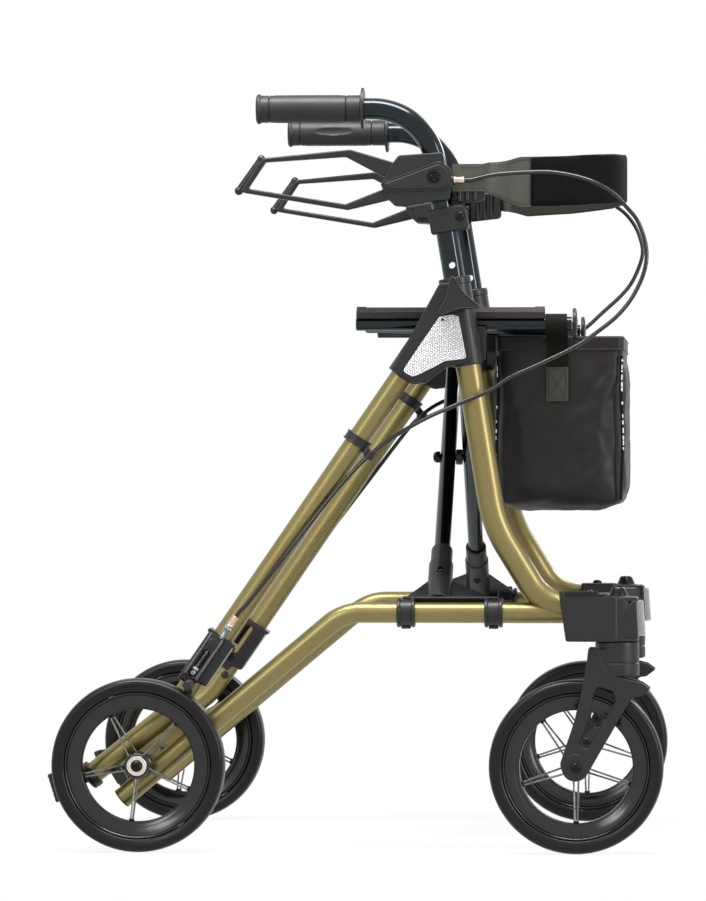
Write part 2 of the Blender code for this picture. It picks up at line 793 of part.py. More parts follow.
def clamp_knob(side, name):
    """A three-lobed knob with hollow sides, whose bolt bears on the post's outer face."""
    corners = []
    radii = []
    for number in range(KNOB_LOBES):
        tip = number * math.tau / KNOB_LOBES - KNOB_TURN
        waist = tip + math.pi / KNOB_LOBES
        corners.append(BOLT + KNOB_CORNER_RADIUS * Vector((math.sin(tip), math.cos(tip))))
        corners.append(BOLT + KNOB_WAIST_RADIUS * Vector((math.sin(waist), math.cos(waist))))
        radii += [KNOB_TIP_ROUNDING, KNOB_WAIST_ROUNDING]
    outline = rounded(corners, radii, True)
    low = CASTING_OUTER_Y + KNOB_STAND_OFF
    knob = slab(outline, side, low, low + KNOB_THICKNESS)
    seat_y = CASTING_OUTER_Y + CLEARANCE
    boss = rod(KNOB_BOSS_RADIUS, in_space(BOLT, side, seat_y), in_space(BOLT, side, low + 0.002))
    tip_y = FRAME_Y + POST_RADIUS + CLEARANCE
    bolt = rod(KNOB_BOLT_RADIUS, in_space(BOLT, side, tip_y), in_space(BOLT, side, low), 12)
    join(knob, boss, bolt)
    return part(knob, f"{name}_clamp_knob", "black_plastic")


def front_casting(side, name):
    """The caster's swivel barrel, joined to the block that holds the ends of both tubes."""
    swivel = Vector((SWIVEL_X, side * WHEEL_Y, 0))
    shoulder_z = BARREL_TOP_Z - BARREL_SHOULDER
    lid_z = BARREL_TOP_Z + BARREL_LID_HEIGHT
    bolt_z = BARREL_TOP_Z + SWIVEL_BOLT_HEIGHT
    profile = [
        (0, bolt_z),
        (SWIVEL_BOLT_RADIUS - SWIVEL_BOLT_CHAMFER, bolt_z),
        (SWIVEL_BOLT_RADIUS, BARREL_TOP_Z + SWIVEL_BOLT_SIDE_HEIGHT),
        (SWIVEL_BOLT_RADIUS, lid_z),
        (BARREL_LID_RADIUS, lid_z),
        (BARREL_RADIUS, shoulder_z),
        (BARREL_RADIUS, BARREL_BOTTOM_Z),
        (0, BARREL_BOTTOM_Z),
    ]
    casting = turned(profile, swivel, (0, 0, 1), 16)
    back = SWIVEL_X - SOCKET_BACK
    front = SWIVEL_X - SOCKET_FRONT
    low = LOWER_TUBE_Z - THIN_TUBE_RADIUS - SOCKET_FLOOR_WALL
    high = AXLE_Z + POST_TOE_RISE + POST_RADIUS + SOCKET_ROOF_WALL
    inner = FRAME_Y - POST_RADIUS - SOCKET_INNER_WALL
    outer = FRAME_Y + POST_RADIUS + SOCKET_OUTER_WALL
    block_plan = [(back, inner), (front, inner), (front, outer), (back, outer)]
    socket = plate(
        [[(x, side * y) for x, y in rounded(block_plan, SOCKET_CORNER_RADIUS, True)]],
        high - low,
        plan_plane((high + low) / 2),
    )
    web_plan = [
        (SWIVEL_X - BARREL_WEB_BACK, inner + BARREL_WEB_INSET),
        (SWIVEL_X - BARREL_SHOULDER, inner + BARREL_WEB_INSET),
        (SWIVEL_X + BARREL_WEB_FRONT, WHEEL_Y - BARREL_WEB_NOSE),
        (SWIVEL_X, WHEEL_Y),
        (SWIVEL_X - BARREL_WEB_HEEL_BACK, WHEEL_Y - BARREL_WEB_HEEL),
        (SWIVEL_X - BARREL_WEB_BACK, outer - CLEARANCE),
    ]
    web = plate(
        [[(x, side * y) for x, y in web_plan]],
        BARREL_HEIGHT - BARREL_WEB_INSET,
        plan_plane(BARREL_BOTTOM_Z + BARREL_HEIGHT / 2),
    )
    join(casting, socket, web)
    cut(casting, solid_tube(post_path(side, 0, CLEARANCE), POST_RADIUS + CLEARANCE))
    cut(casting, solid_tube(lower_path(side, CLEARANCE), THIN_TUBE_RADIUS + CLEARANCE))
    foot = swivel + Vector((0, 0, BARREL_BOTTOM_Z - SOCKET_FRONT))
    top = swivel + Vector((0, 0, BARREL_TOP_Z - STEM_BELOW_TOP + CLEARANCE))
    cut(casting, clear_hole(STEM_RADIUS, foot, top))
    return part(casting, f"{name}_front_casting", "black_plastic")


def tip_pedal(side, name):
    """A cap on the leg's end with a slanted pad, which a foot treads on to tip the front up."""
    down = (LEG_END - LEG_BEND).normalized()
    away = Vector((-down.y, down.x))
    start = LEG_END - down * 0.008
    end = LEG_END + down * 0.006
    reach = LEG_RADIUS + 0.0035
    pad_top = Vector((PEDAL_TIP_X, LEG_END.y + 0.0017))
    pad_low = Vector((PEDAL_TIP_X + 0.0129, LEG_END.y - 0.033))
    outline = [
        start - away * reach,
        end - away * reach,
        pad_top,
        pad_low,
        pad_low + Vector((0.014, 0.007)),
        end + away * (reach - 0.004),
        start + away * reach,
    ]
    cap = slab(outline, side, FRAME_Y - PEDAL_HALF_WIDTH, FRAME_Y + PEDAL_HALF_WIDTH)
    tail = [in_space(LEG_BEND + down * 0.05, side), in_space(LEG_END + down * CLEARANCE, side)]
    cut(cap, solid_tube(tail, LEG_RADIUS + CLEARANCE))
    return part(cap, f"{name}_tip_pedal", "black_plastic")


# Handles

def handle_tube(side, name):
    tube = hollow_tube(handle_path(side), HANDLE_RADIUS, TUBE_WALL)
    for number in HEIGHT_HOLES:
        spot = on_post(number * HEIGHT_HOLE_PITCH)
        ends = (in_space(spot, side, FRAME_Y - 0.03), in_space(spot, side, FRAME_Y + 0.03))
        cut(tube, rod(HEIGHT_HOLE_RADIUS, *ends, 8))
    return part(tube, f"{name}_handle_tube", "black_tube")


def grip(side, name):
    """A turned grip with a flange in front and a shallow groove near each end."""
    steps = 16
    bore = (HANDLE_RADIUS + CLEARANCE) / math.cos(math.pi / steps)
    length = GRIP_FRONT_X - GRIP_BACK_X
    bore_end = HANDLE_BACK_X - GRIP_BACK_X - CLEARANCE
    groove = GRIP_RADIUS - GRIP_GROOVE_DEPTH
    flange = length - GRIP_FLANGE_WIDTH
    rising = [
        (0, 0),
        (GRIP_RADIUS - 0.003, 0),
        (GRIP_RADIUS + 0.0017, 0.003),
        (GRIP_RADIUS, 0.012),
        (groove, 0.015),
        (GRIP_RADIUS, 0.018),
        (GRIP_RADIUS, flange - 0.020),
        (groove, flange - 0.017),
        (GRIP_RADIUS, flange - 0.014),
        (GRIP_RADIUS, flange - 0.002),
        (GRIP_FLANGE_RADIUS, flange),
        (GRIP_FLANGE_RADIUS, length),
        (bore, length),
        (bore, bore_end),
        (0, bore_end),
    ]
    origin = Vector((GRIP_BACK_X, side * FRAME_Y, HANDLE_Z))
    sleeve = turned(list(reversed(rising)), origin, (1, 0, 0), steps)
    return part(sleeve, f"{name}_grip", "rubber")


HOUSING_OUTLINE = (
    (-0.0348, 0.0259),
    (0.0113, 0.0291),
    (0.0211, 0.0150),
    (0.0236, -0.0179),
    (0.0211, -0.0268),
    (-0.0118, -0.0275),
    (-0.0415, -0.0324),
    (-0.0596, -0.0176),
    (-0.0604, -0.0061),
    (-0.0423, 0.0236),
)
LEVER_LOOP = (
    (-0.0095, 0.0),
    (-0.0395, 0.0142),
    (-0.0961, 0.0272),
    (-0.2030, 0.0232),
    (-0.2295, -0.0165),
    (-0.0998, -0.0348),
    (-0.0495, -0.0188),
)
LEVER_LOOP_RADII = (0, 0.030, 0.120, 0.022, 0.012, 0.080, 0.030)
LEVER_PIVOT = Vector((LEVER_PIVOT_X, LEVER_PIVOT_Z))


def ferrule_end(side):
    """The middle of the face that the brake cable leaves from."""
    face_x = LEVER_PIVOT_X + HOUSING_FRONT + FERRULE_LENGTH
    return Vector((face_x, side * LEVER_Y, LEVER_PIVOT_Z - FERRULE_DROP))


def brake_housing(side, name):
    """The casing round the handle tube, slotted for the lever, with the cable's ferrule in front."""
    housing = slab(around(LEVER_PIVOT, HOUSING_OUTLINE), side, HOUSING_INNER_Y, HOUSING_OUTER_Y)
    cut(housing, solid_tube(handle_path(side), HANDLE_RADIUS + CLEARANCE))
    half = LEVER_TONGUE / 2 + LEVER_SLOT_CLEARANCE
    low = (LEVER_PIVOT_X - 0.080, side * (LEVER_Y - half), LEVER_PIVOT_Z - 0.050)
    high = (LEVER_PIVOT_X - 0.0095, side * (LEVER_Y + half), LEVER_PIVOT_Z + 0.050)
    inner = in_space(LEVER_PIVOT, side, LEVER_Y - half)
    outer = in_space(LEVER_PIVOT, side, LEVER_Y + half)
    cut(housing, block(low, high), rod(LEVER_HUB_RADIUS + 0.0015, inner, outer))
    over = Vector((0, side * 0.002, 0))
    pin = rod(LEVER_PIN_RADIUS, inner - over * 0.2, outer + over, 12)
    end = ferrule_end(side)
    start = end - Vector((FERRULE_LENGTH + 0.0085, 0, 0))
    join(housing, pin, rod(FERRULE_RADIUS, start, end, 12))
    return part(housing, f"{name}_brake_housing", "black_plastic")


def brake_lever(side, name):
    """A looped lever with a thinner tongue, which turns on the housing's pin."""
    corners = [LEVER_PIVOT + Vector(offset) for offset in LEVER_LOOP]
    line = rounded(corners, LEVER_LOOP_RADII, True)
    outer = offset_loop(line, -LEVER_BAR / 2)
    inner = offset_loop(line, LEVER_BAR / 2)
    lever = plate([outer, inner], LEVER_WIDTH, side_plane(side * LEVER_Y))
    half = LEVER_TONGUE / 2
    for low_y, high_y in ((-LEVER_WIDTH, -half), (half, LEVER_WIDTH)):
        low = (LEVER_PIVOT_X - 0.0695, side * (LEVER_Y + low_y), LEVER_PIVOT_Z - 0.08)
        high = (LEVER_PIVOT_X + 0.05, side * (LEVER_Y + high_y), LEVER_PIVOT_Z + 0.08)
        cut(lever, block(low, high))
    near = in_space(LEVER_PIVOT, side, LEVER_Y - half)
    far = in_space(LEVER_PIVOT, side, LEVER_Y + half)
    past = Vector((0, side * 0.01, 0))
    join(lever, rod(LEVER_HUB_RADIUS, near, far, 18))
    cut(lever, clear_hole(LEVER_PIN_RADIUS, near - past, far + past, 12))
    return part(lever, f"{name}_brake_lever", "black_plastic")


BRACKET_THICKNESS = 0.010
BRACKET_INNER_Y = FRAME_Y + 0.001
BRACKET_BACK_X = LEVER_PIVOT_X + 0.0239
BRACKET_LENGTH = 0.036


def backrest_bracket(side, name):
    """A strap end arm in front of the housing."""
    middle = LEVER_PIVOT_Z - 0.0125
    outline = [
        (BRACKET_BACK_X, middle - 0.014),
        (BRACKET_BACK_X + BRACKET_LENGTH, middle - 0.009),
        (BRACKET_BACK_X + BRACKET_LENGTH, middle + 0.016),
        (BRACKET_BACK_X, middle + 0.018),
    ]
    arm = slab(rounded(outline, 0.004, True), side, BRACKET_INNER_Y, BRACKET_INNER_Y + BRACKET_THICKNESS)
    return part(arm, f"{name}_backrest_bracket", "black_plastic")


# Brake at the rear wheel

LEG_SLEEVE = (0.4010, 0.4590)
ADJUSTER_END = 0.3712
SHOE_CENTRE = REAR_HUB + (WHEEL_RADIUS + SHOE_GAP + SHOE_RADIUS) * Vector(
    (math.cos(SHOE_ANGLE), math.sin(SHOE_ANGLE))
)


def leg_outline(top, bottom, behind, ahead):
    """A four-sided outline along the leg, by distances down it and to each side of its axis."""
    return [
        on_leg(top) - LEG_ACROSS * behind,
        on_leg(top) + LEG_ACROSS * ahead,
        on_leg(bottom) + LEG_ACROSS * ahead,
        on_leg(bottom) - LEG_ACROSS * behind,
    ]


def brake_sleeve(side, name):
    """The brake's carrier on the leg, with a channel for the shoe's tongue and the cable's adjuster."""
    top, bottom = LEG_SLEEVE
    outline = rounded(leg_outline(top, bottom, 0.0165, 0.0165), 0.003, True)
    sleeve = slab(outline, side, SLEEVE_INNER_Y, SLEEVE_OUTER_Y)
    start = in_space(on_leg(top + 0.006), side, ADJUSTER_Y)
    end = in_space(on_leg(ADJUSTER_END), side, ADJUSTER_Y)
    join(sleeve, rod(ADJUSTER_RADIUS, start, end, 12))
    cut(sleeve, solid_tube(leg_path(side), LEG_RADIUS + CLEARANCE))
    reach = (on_leg(0) - SHOE_CENTRE).dot(LEG_UP)
    offset = (SHOE_CENTRE - on_leg(0)).dot(LEG_ACROSS)
    half = TONGUE_WIDTH / 2 + CLEARANCE
    channel = leg_outline(
        reach - TONGUE_LENGTH - SHOE_GAP, bottom + 0.02, half - offset, half + offset
    )
    channel_y = ADJUSTER_Y - TONGUE_THICKNESS / 2 - CLEARANCE
    cut(sleeve, slab(channel, side, channel_y, SLEEVE_OUTER_Y + 0.01))
    return part(sleeve, f"{name}_brake_sleeve", "black_plastic")


def brake_shoe(side, name):
    """A bar over the tyre with a tongue that slides in the sleeve."""
    inner_y = ADJUSTER_Y - TONGUE_THICKNESS / 2
    bar = rod(SHOE_RADIUS, in_space(SHOE_CENTRE, side, inner_y), in_space(SHOE_CENTRE, side, SHOE_END_Y), 14)
    reach = (on_leg(0) - SHOE_CENTRE).dot(LEG_UP)
    offset = (SHOE_CENTRE - on_leg(0)).dot(LEG_ACROSS)
    half = TONGUE_WIDTH / 2
    outline = leg_outline(reach - TONGUE_LENGTH, reach, half - offset, half + offset)
    join(bar, slab(outline, side, inner_y, inner_y + TONGUE_THICKNESS))
    return part(bar, f"{name}_brake_shoe", "rubber")


# Brake cables: points chosen by hand, as (x, distance from the middle, z) with z above the axles

CABLE_ROUTES = {
    "right": (
        (0.1627, 0.2530, 0.6788),
        (0.2049, 0.2550, 0.6813),
        (0.2331, 0.2560, 0.6803),
        (0.2682, 0.2565, 0.6722),
        (0.2944, 0.2568, 0.6582),
        (0.3130, 0.2570, 0.6400),
        (0.3261, 0.2570, 0.6228),
        (0.3348, 0.2570, 0.5948),
        (0.3330, 0.2570, 0.5685),
        (0.3208, 0.2570, 0.5404),
        (0.3033, 0.2568, 0.5176),
        (0.2822, 0.2566, 0.5001),
        (0.2530, 0.2563, 0.4803),
        (0.2111, 0.2560, 0.4600),
        (0.1774, 0.2560, 0.4449),
        (0.1538, 0.2560, 0.4297),
        (0.1240, 0.2560, 0.4172),
        (0.0747, 0.2520, 0.3951),
        (0.0252, 0.2430, 0.3638),
        (-0.0175, 0.2450, 0.3211),
        (-0.0700, 0.2520, 0.2540),
        (-0.1208, 0.2530, 0.1893),
    ),
    "left": (
        (0.1627, 0.2530, 0.6788),
        (0.2049, 0.2545, 0.6813),
        (0.2331, 0.2550, 0.6800),
        (0.2682, 0.2550, 0.6750),
        (0.2966, 0.2550, 0.6609),
        (0.3130, 0.2550, 0.6430),
        (0.3212, 0.2550, 0.6248),
        (0.3240, 0.2550, 0.6039),
        (0.3137, 0.2550, 0.5755),
        (0.3004, 0.2550, 0.5567),
        (0.2758, 0.2550, 0.5339),
        (0.2455, 0.2550, 0.5073),
        (0.1990, 0.2555, 0.4790),
        (0.1538, 0.2560, 0.4560),
        (0.1180, 0.2560, 0.4390),
        (0.0728, 0.2480, 0.4207),
        (0.0497, 0.2430, 0.4048),
        (0.0300, 0.2430, 0.3840),
        (-0.0200, 0.2470, 0.3190),
        (-0.0700, 0.2520, 0.2540),
        (-0.1208, 0.2530, 0.1893),
    ),
}
CLIP_PLACES = {"right": 0.1250, "left": 0.0640}


def smooth_route(points, spacing):
    """Evenly spaced points on the smooth curve through a route's points."""
    ends = [points[0] * 2 - points[1]] + points + [points[-1] * 2 - points[-2]]
    fine = []
    for index in range(1, len(ends) - 2):
        before, start, end, after = ends[index - 1 : index + 3]
        for number in range(8):
            part_way = number / 8
            fine.append(
                0.5
                * (
                    2 * start
                    + (end - before) * part_way
                    + (2 * before - 5 * start + 4 * end - after) * part_way**2
                    + (3 * start - before - 3 * end + after) * part_way**3
                )
            )
    fine.append(points[-1])
    length = sum((b - a).length for a, b in zip(fine, fine[1:]))
    count = round(length / spacing)
    even = [fine[0]]
    travelled = 0.0
    for a, b in zip(fine, fine[1:]):
        run = (b - a).length
        while len(even) < count and travelled + run >= len(even) * length / count:
            share = (len(even) * length / count - travelled) / run
            even.append(a + (b - a) * share)
        travelled += run
    even.append(fine[-1])
    return even


def cable_points(side, name):
    """The route from the ferrule's face to the adjuster's face, square to both."""
    start = ferrule_end(side) + Vector((CABLE_END_GAP, 0, 0))
    end = in_space(on_leg(ADJUSTER_END - CABLE_END_GAP), side, ADJUSTER_Y)
    leave = Vector((CABLE_STRAIGHT, 0, 0))
    arrive = Vector((LEG_UP.x, 0, LEG_UP.y)) * CABLE_STRAIGHT
    middle = [Vector((x, side * y, AXLE_Z + z)) for x, y, z in CABLE_ROUTES[name]]
    return smooth_route([start, start + leave] + middle + [end + arrive, end], CABLE_SPACING)


def brake_cable(side, name):
    cable = curve_object("cable", cable_points(side, name), CABLE_RADIUS, 2)
    return part(cable, f"{name}_brake_cable", "cable_jacket")


def cable_clip(side, name):
    """A band round the leg with an eye that holds the cable in front of it."""
    place = CLIP_PLACES[name]
    start = in_space(on_leg(place - CLIP_WIDTH / 2), side)
    end = in_space(on_leg(place + CLIP_WIDTH / 2), side)
    band = rod(LEG_RADIUS + CLIP_WALL, start, end)
    nearest = min(cable_points(side, name), key=lambda point: (point - (start + end) / 2).length)
    along = Vector((LEG_UP.x, 0, LEG_UP.y)) * CLIP_WIDTH / 2
    eye = rod(CLIP_CABLE_RADIUS, nearest - along, nearest + along, 12)
    bridge_half = 0.004
    middle = (start + end) / 2
    run = nearest - middle
    bridge = plate(
        [[(0, -bridge_half), (run.length, -bridge_half), (run.length, bridge_half), (0, bridge_half)]],
        CLIP_WIDTH,
        frame(middle, run, along.cross(run)),
    )
    join(band, eye, bridge)
    cut(band, solid_tube(leg_path(side), LEG_RADIUS + CLEARANCE))
    cut(band, solid_tube(cable_points(side, name), CABLE_RADIUS + CLEARANCE, 2))
    return part(band, f"{name}_cable_clip", "black_plastic")


# Seat, scissor brace and centre pieces

def seat_rail(side, name):
    """A rail with an end disc; the seat's roll goes round it."""
    rear = RAIL_BACK_X
    front = RAIL_FRONT_X
    profile = [
        (0, front + RAIL_DISC_WIDTH),
        (RAIL_DISC_RADIUS, front + RAIL_DISC_WIDTH),
        (RAIL_DISC_RADIUS, front),
        (RAIL_RADIUS, front),
        (RAIL_RADIUS, rear),
        (0, rear),
    ]
    rail = turned(profile, (0, side * RAIL_Y, RAIL_Z), (1, 0, 0), 16)
    return part(rail, f"{name}_seat_rail", "black_tube")


def arm_x(side):
    """The right foot's arm is the rear one."""
    return FRONT_ARM_X if side > 0 else REAR_ARM_X


def arm_point(side, reach):
    """A point on a foot's arm, by its distance from the lower tube's axis."""
    along = Vector((0, -side * math.cos(ARM_ANGLE), math.sin(ARM_ANGLE)))
    return Vector((arm_x(side), side * FRAME_Y, LOWER_TUBE_Z)) + along * reach


def brace_tube(side, name):
    """One arm of the scissor, from its foot to the rail of the other side."""
    start = arm_point(side, FOOT_SOCKET_FLOOR + CLEARANCE)
    end = arm_point(side, (FRAME_Y + RAIL_Y) / math.cos(ARM_ANGLE))
    tube = hollow_tube([start, end], ARM_RADIUS, ARM_WALL)
    rail_start = Vector((RAIL_BACK_X, -side * RAIL_Y, RAIL_Z))
    rail_end = Vector((RAIL_FRONT_X, -side * RAIL_Y, RAIL_Z))
    cut(tube, clear_hole(RAIL_RADIUS, rail_start, rail_end))
    over_low = (arm_x(side) - 0.02, -side * (RAIL_Y - 0.05), ARM_TOP_Z)
    over_high = (arm_x(side) + 0.02, -side * (RAIL_Y + 0.05), ARM_TOP_Z + 0.04)
    cut(tube, block(over_low, over_high))
    centre = Vector((arm_x(side), 0, PIVOT_Z))
    past = Vector((2 * ARM_RADIUS, 0, 0))
    cut(tube, clear_hole(AXLE_RADIUS, centre - past, centre + past, 12))
    return part(tube, f"{name}_brace_tube", "black_tube")


def brace_foot(side, name):
    """Two rings that turn on the lower tube, with a webbed socket for the arm."""
    axis = Vector((0, side * FRAME_Y, LOWER_TUBE_Z))
    middle = (REAR_ARM_X + FRONT_ARM_X) / 2
    socket_x = arm_x(side)
    back = Vector((middle - FOOT_LENGTH / 2, 0, 0)) + axis
    front = Vector((middle + FOOT_LENGTH / 2, 0, 0)) + axis
    width = Vector((FOOT_RING_WIDTH, 0, 0))
    foot = rod(FOOT_RING_RADIUS, back, back + width)
    join(foot, rod(FOOT_RING_RADIUS, front - width, front))
    tilt = arm_point(side, 1) - arm_point(side, 0)
    base = frame(axis, (1, 0, 0), tilt)
    low = THIN_TUBE_RADIUS + 0.001
    half = FOOT_LENGTH / 2 - 0.003
    web = [
        (middle - half, low + 0.001),
        (middle + half, low + 0.001),
        (middle + half, low + 0.006),
        (socket_x + 0.9 * FOOT_SOCKET_RADIUS, FOOT_WEB_REACH),
        (socket_x - 0.9 * FOOT_SOCKET_RADIUS, FOOT_WEB_REACH),
        (middle - half, low + 0.006),
    ]
    half -= 0.002
    flange = [
        (middle - half, low),
        (middle + half, low),
        (middle + half, low + 0.004),
        (middle - half, low + 0.004),
    ]
    socket = rod(FOOT_SOCKET_RADIUS, arm_point(side, low + 0.002), arm_point(side, FOOT_SOCKET_REACH))
    join(foot, plate([web], 0.004, base), plate([flange], 0.020, base), socket)
    bore_start = arm_point(side, FOOT_SOCKET_FLOOR)
    cut(foot, solid_tube([bore_start, arm_point(side, FOOT_SOCKET_REACH + 0.01)], ARM_RADIUS + CLEARANCE))
    over = Vector((0.01, 0, 0))
    cut(foot, clear_hole(THIN_TUBE_RADIUS, back - over, front + over))
    return part(foot, f"{name}_brace_foot", "black_plastic")


def brace_pivot():
    """The centre bolt, with a nut at each end and a spacer between the arms."""
    head = AXLE_RADIUS * 1.9
    spacer = ARM_RADIUS
    rear = REAR_ARM_X - ARM_RADIUS - CLEARANCE
    front = FRONT_ARM_X + ARM_RADIUS + CLEARANCE
    gap_back = REAR_ARM_X + ARM_RADIUS + CLEARANCE
    gap_front = FRONT_ARM_X - ARM_RADIUS - CLEARANCE
    profile = [
        (0, front + 0.006),
        (head, front + 0.006),
        (head, front),
        (AXLE_RADIUS, front),
        (AXLE_RADIUS, gap_front),
        (spacer, gap_front),
        (spacer, gap_back),
        (AXLE_RADIUS, gap_back),
        (AXLE_RADIUS, rear),
        (head, rear),
        (head, rear - 0.004),
        (0.5 * head, rear - 0.008),
        (0, rear - 0.008),
    ]
    return part(turned(profile, (0, 0, PIVOT_Z), (1, 0, 0), 12), "brace_pivot", "steel")


def seat():
    """A sling of fabric that sags between two rolls round the rails, cut away over the arms."""
    sheet_edge = RAIL_Y - SEAT_ROLL_HALF_WIDTH - 0.0035
    edge_z = RAIL_Z + 0.4 * SEAT_ROLL_TOP
    steps = 8

    def sheet(y, drop):
        return (y, edge_z - SEAT_SAG * (1 - (y / sheet_edge) ** 2) - drop)

    def roll(side, first, last):
        points = []
        for number in range(steps + 1):
            angle = math.radians(first + (last - first) * number / steps)
            height = SEAT_ROLL_TOP if math.sin(angle) > 0 else SEAT_ROLL_BOTTOM
            points.append(
                (side * (RAIL_Y + SEAT_ROLL_HALF_WIDTH * math.cos(angle)), RAIL_Z + height * math.sin(angle))
            )
        return points

    across = [sheet_edge * (2 * number / steps - 1) for number in range(steps + 1)]
    section = [sheet(y, 0) for y in across]
    section += roll(1, 130, -140)
    section += [sheet(y, SEAT_THICKNESS) for y in reversed(across)]
    section += roll(-1, -140, 130)
    sling = plate([section], SEAT_FRONT_X - RAIL_BACK_X, cross_plane((SEAT_FRONT_X + RAIL_BACK_X) / 2))
    for side, name in SIDES:
        start = Vector((RAIL_BACK_X - 0.02, side * RAIL_Y, RAIL_Z))
        end = Vector((RAIL_FRONT_X, side * RAIL_Y, RAIL_Z))
        cut(sling, clear_hole(RAIL_RADIUS, start, end))
        low = (REAR_ARM_X - 0.020, side * (RAIL_Y - 0.045), RAIL_Z - 0.08)
        high = (BOLT_X + 0.040, side * (RAIL_Y + 0.045), ARM_TOP_Z + CLEARANCE)
        cut(sling, block(low, high))
    return part(sling, "seat", "fabric")


BACKREST_STATIONS = (
    (0.0000, 0.2330, -0.0055, 0.0155),
    (0.0180, 0.2290, -0.0062, 0.0160),
    (0.0340, 0.2050, -0.0110, 0.0200),
    (0.0540, 0.1520, -0.0190, 0.0350),
    (0.0900, 0.1180, -0.0200, 0.0390),
    (0.1260, 0.1020, -0.0180, 0.0410),
    (0.1560, 0.0900, -0.0160, 0.0430),
    (0.1760, 0.0620, -0.0130, 0.0450),
    (0.1850, 0.0300, -0.0110, 0.0465),
    (0.1880, 0.0000, -0.0100, 0.0470),
)


def backrest():
    """A wide strap bowed forward between the brackets, by (x, y, low, high) from the bracket's middle."""
    middle = LEVER_PIVOT_Z - 0.0088
    start = BRACKET_BACK_X + 0.0035
    stations = [(x, y, low, high) for x, y, low, high in BACKREST_STATIONS]
    stations += [(x, -y, low, high) for x, y, low, high in reversed(BACKREST_STATIONS[:-1])]
    rows = 4
    bm = bmesh.new()
    columns = []
    for x, y, low, high in stations:
        column = []
        for row in range(rows + 1):
            share = row / rows
            column.append(bm.verts.new((start + x, y, middle + low + (high - low) * share)))
        columns.append(column)
    for first, second in zip(columns, columns[1:]):
        for row in range(rows):
            bm.faces.new((first[row], second[row], second[row + 1], first[row + 1]))
    strap = mesh_object("strap", bm)
    shell = strap.modifiers.new("thickness", "SOLIDIFY")
    shell.thickness = STRAP_THICKNESS
    shell.offset = 0
    for side, name in SIDES:
        inner = BRACKET_INNER_Y - CLEARANCE
        low = (BRACKET_BACK_X - 0.02, side * inner, middle - 0.06)
        high = (BRACKET_BACK_X + 0.08, side * (inner + 0.03), middle + 0.06)
        cut(strap, block(low, high))
    return part(strap, "backrest", "webbing")


def bag():
    """A soft bag under the seat, hung from both rails by webbing loops."""
    low = Vector((BAG_BACK_X, -BAG_HALF_WIDTH, AXLE_Z + BAG_BOTTOM_RISE))
    high = Vector((BAG_FRONT_X, BAG_HALF_WIDTH, AXLE_Z + BAG_TOP_RISE))
    pouch = block(low, high)
    edges = pouch.modifiers.new("rounded", "BEVEL")
    edges.width = 0.016
    edges.segments = 2
    strap_back = BAG_STRAP_X - BAG_STRAP_WIDTH / 2
    strap_front = BAG_STRAP_X + BAG_STRAP_WIDTH / 2
    outer = RAIL_RADIUS + BAG_STRAP_THICKNESS + CLEARANCE
    for side, name in SIDES:
        start = Vector((strap_back, side * RAIL_Y, RAIL_Z))
        end = Vector((strap_front, side * RAIL_Y, RAIL_Z))
        strip = [
            (RAIL_Y - 0.004, RAIL_Z - outer + 0.0005),
            (BAG_HALF_WIDTH - 0.006, high.z - 0.046),
            (BAG_HALF_WIDTH - 0.006, high.z - 0.030),
            (RAIL_Y - outer + 0.0005, RAIL_Z - 0.003),
        ]
        hanger = plate([mirrored(strip, side)], BAG_STRAP_WIDTH, cross_plane(BAG_STRAP_X))
        join(pouch, rod(outer, start, end), hanger)
        over = Vector((0.01, 0, 0))
        cut(pouch, clear_hole(RAIL_RADIUS, start - over, end + over))
    return part(pouch, "bag", "fabric")


def tapered_box(back_top, back_low, front, inner_y, outer_y, low, high):
    """A box whose rear face leans: its top and its foot start at different places."""
    box = block((back_top, -outer_y, low), (front, -inner_y, high))
    for vert in box.data.vertices:
        if vert.co.x < (back_top + front) / 2 and vert.co.z < (low + high) / 2:
            vert.co.x = back_low
    return box


def cane_cup():
    """An open cup outboard of the right front casting, which a walking stick stands in."""
    low = BARREL_BOTTOM_Z - 0.0002
    high = low + CUP_HEIGHT
    back = SWIVEL_X - 0.0677
    front = SWIVEL_X + 0.0029
    cup = tapered_box(back, back + 0.0077, front, CUP_INNER_Y, CUP_OUTER_Y, low, high)
    hollow = tapered_box(
        back + CUP_WALL,
        back + 0.0077 + CUP_WALL,
        front - CUP_WALL,
        CUP_INNER_Y + CUP_WALL,
        CUP_OUTER_Y - CUP_WALL,
        low + CUP_WALL,
        high + 0.02,
    )
    foot = Vector((SWIVEL_X, -WHEEL_Y, low - 0.01))
    top = Vector((SWIVEL_X, -WHEEL_Y, high + 0.03))
    cut(hollow, clear_hole(BARREL_RADIUS + CUP_WALL, foot, top, 24))
    cut(cup, hollow, clear_hole(BARREL_RADIUS, foot, top, 24))
    slope = [
        (CUP_INNER_Y - 0.01, high + 0.002),
        (CUP_INNER_Y - 0.01, high + 0.03),
        (CUP_OUTER_Y + 0.01, high + 0.03),
        (CUP_OUTER_Y + 0.01, high - 0.010),
    ]
    cut(cup, plate([mirrored(slope, -1)], 0.3, cross_plane(SWIVEL_X)))
    return part(cup, "cane_cup", "black_plastic")


def cane_clip():
    """A clamp on the right handle tube, over the cane cup."""
    low = on_post(0.079)
    high = on_post(0.107)
    across = Vector((POST_UP.y, -POST_UP.x))
    outline = [low - across * 0.0175, low + across * 0.0265, high + across * 0.0265, high - across * 0.0175]
    clamp = slab(rounded(outline, (0.002, 0.003, 0.009, 0.003), True), -1, 0.2185, 0.2520)
    cut(clamp, solid_tube(handle_path(-1), HANDLE_RADIUS + CLEARANCE))
    return part(clamp, "cane_clip", "black_plastic")


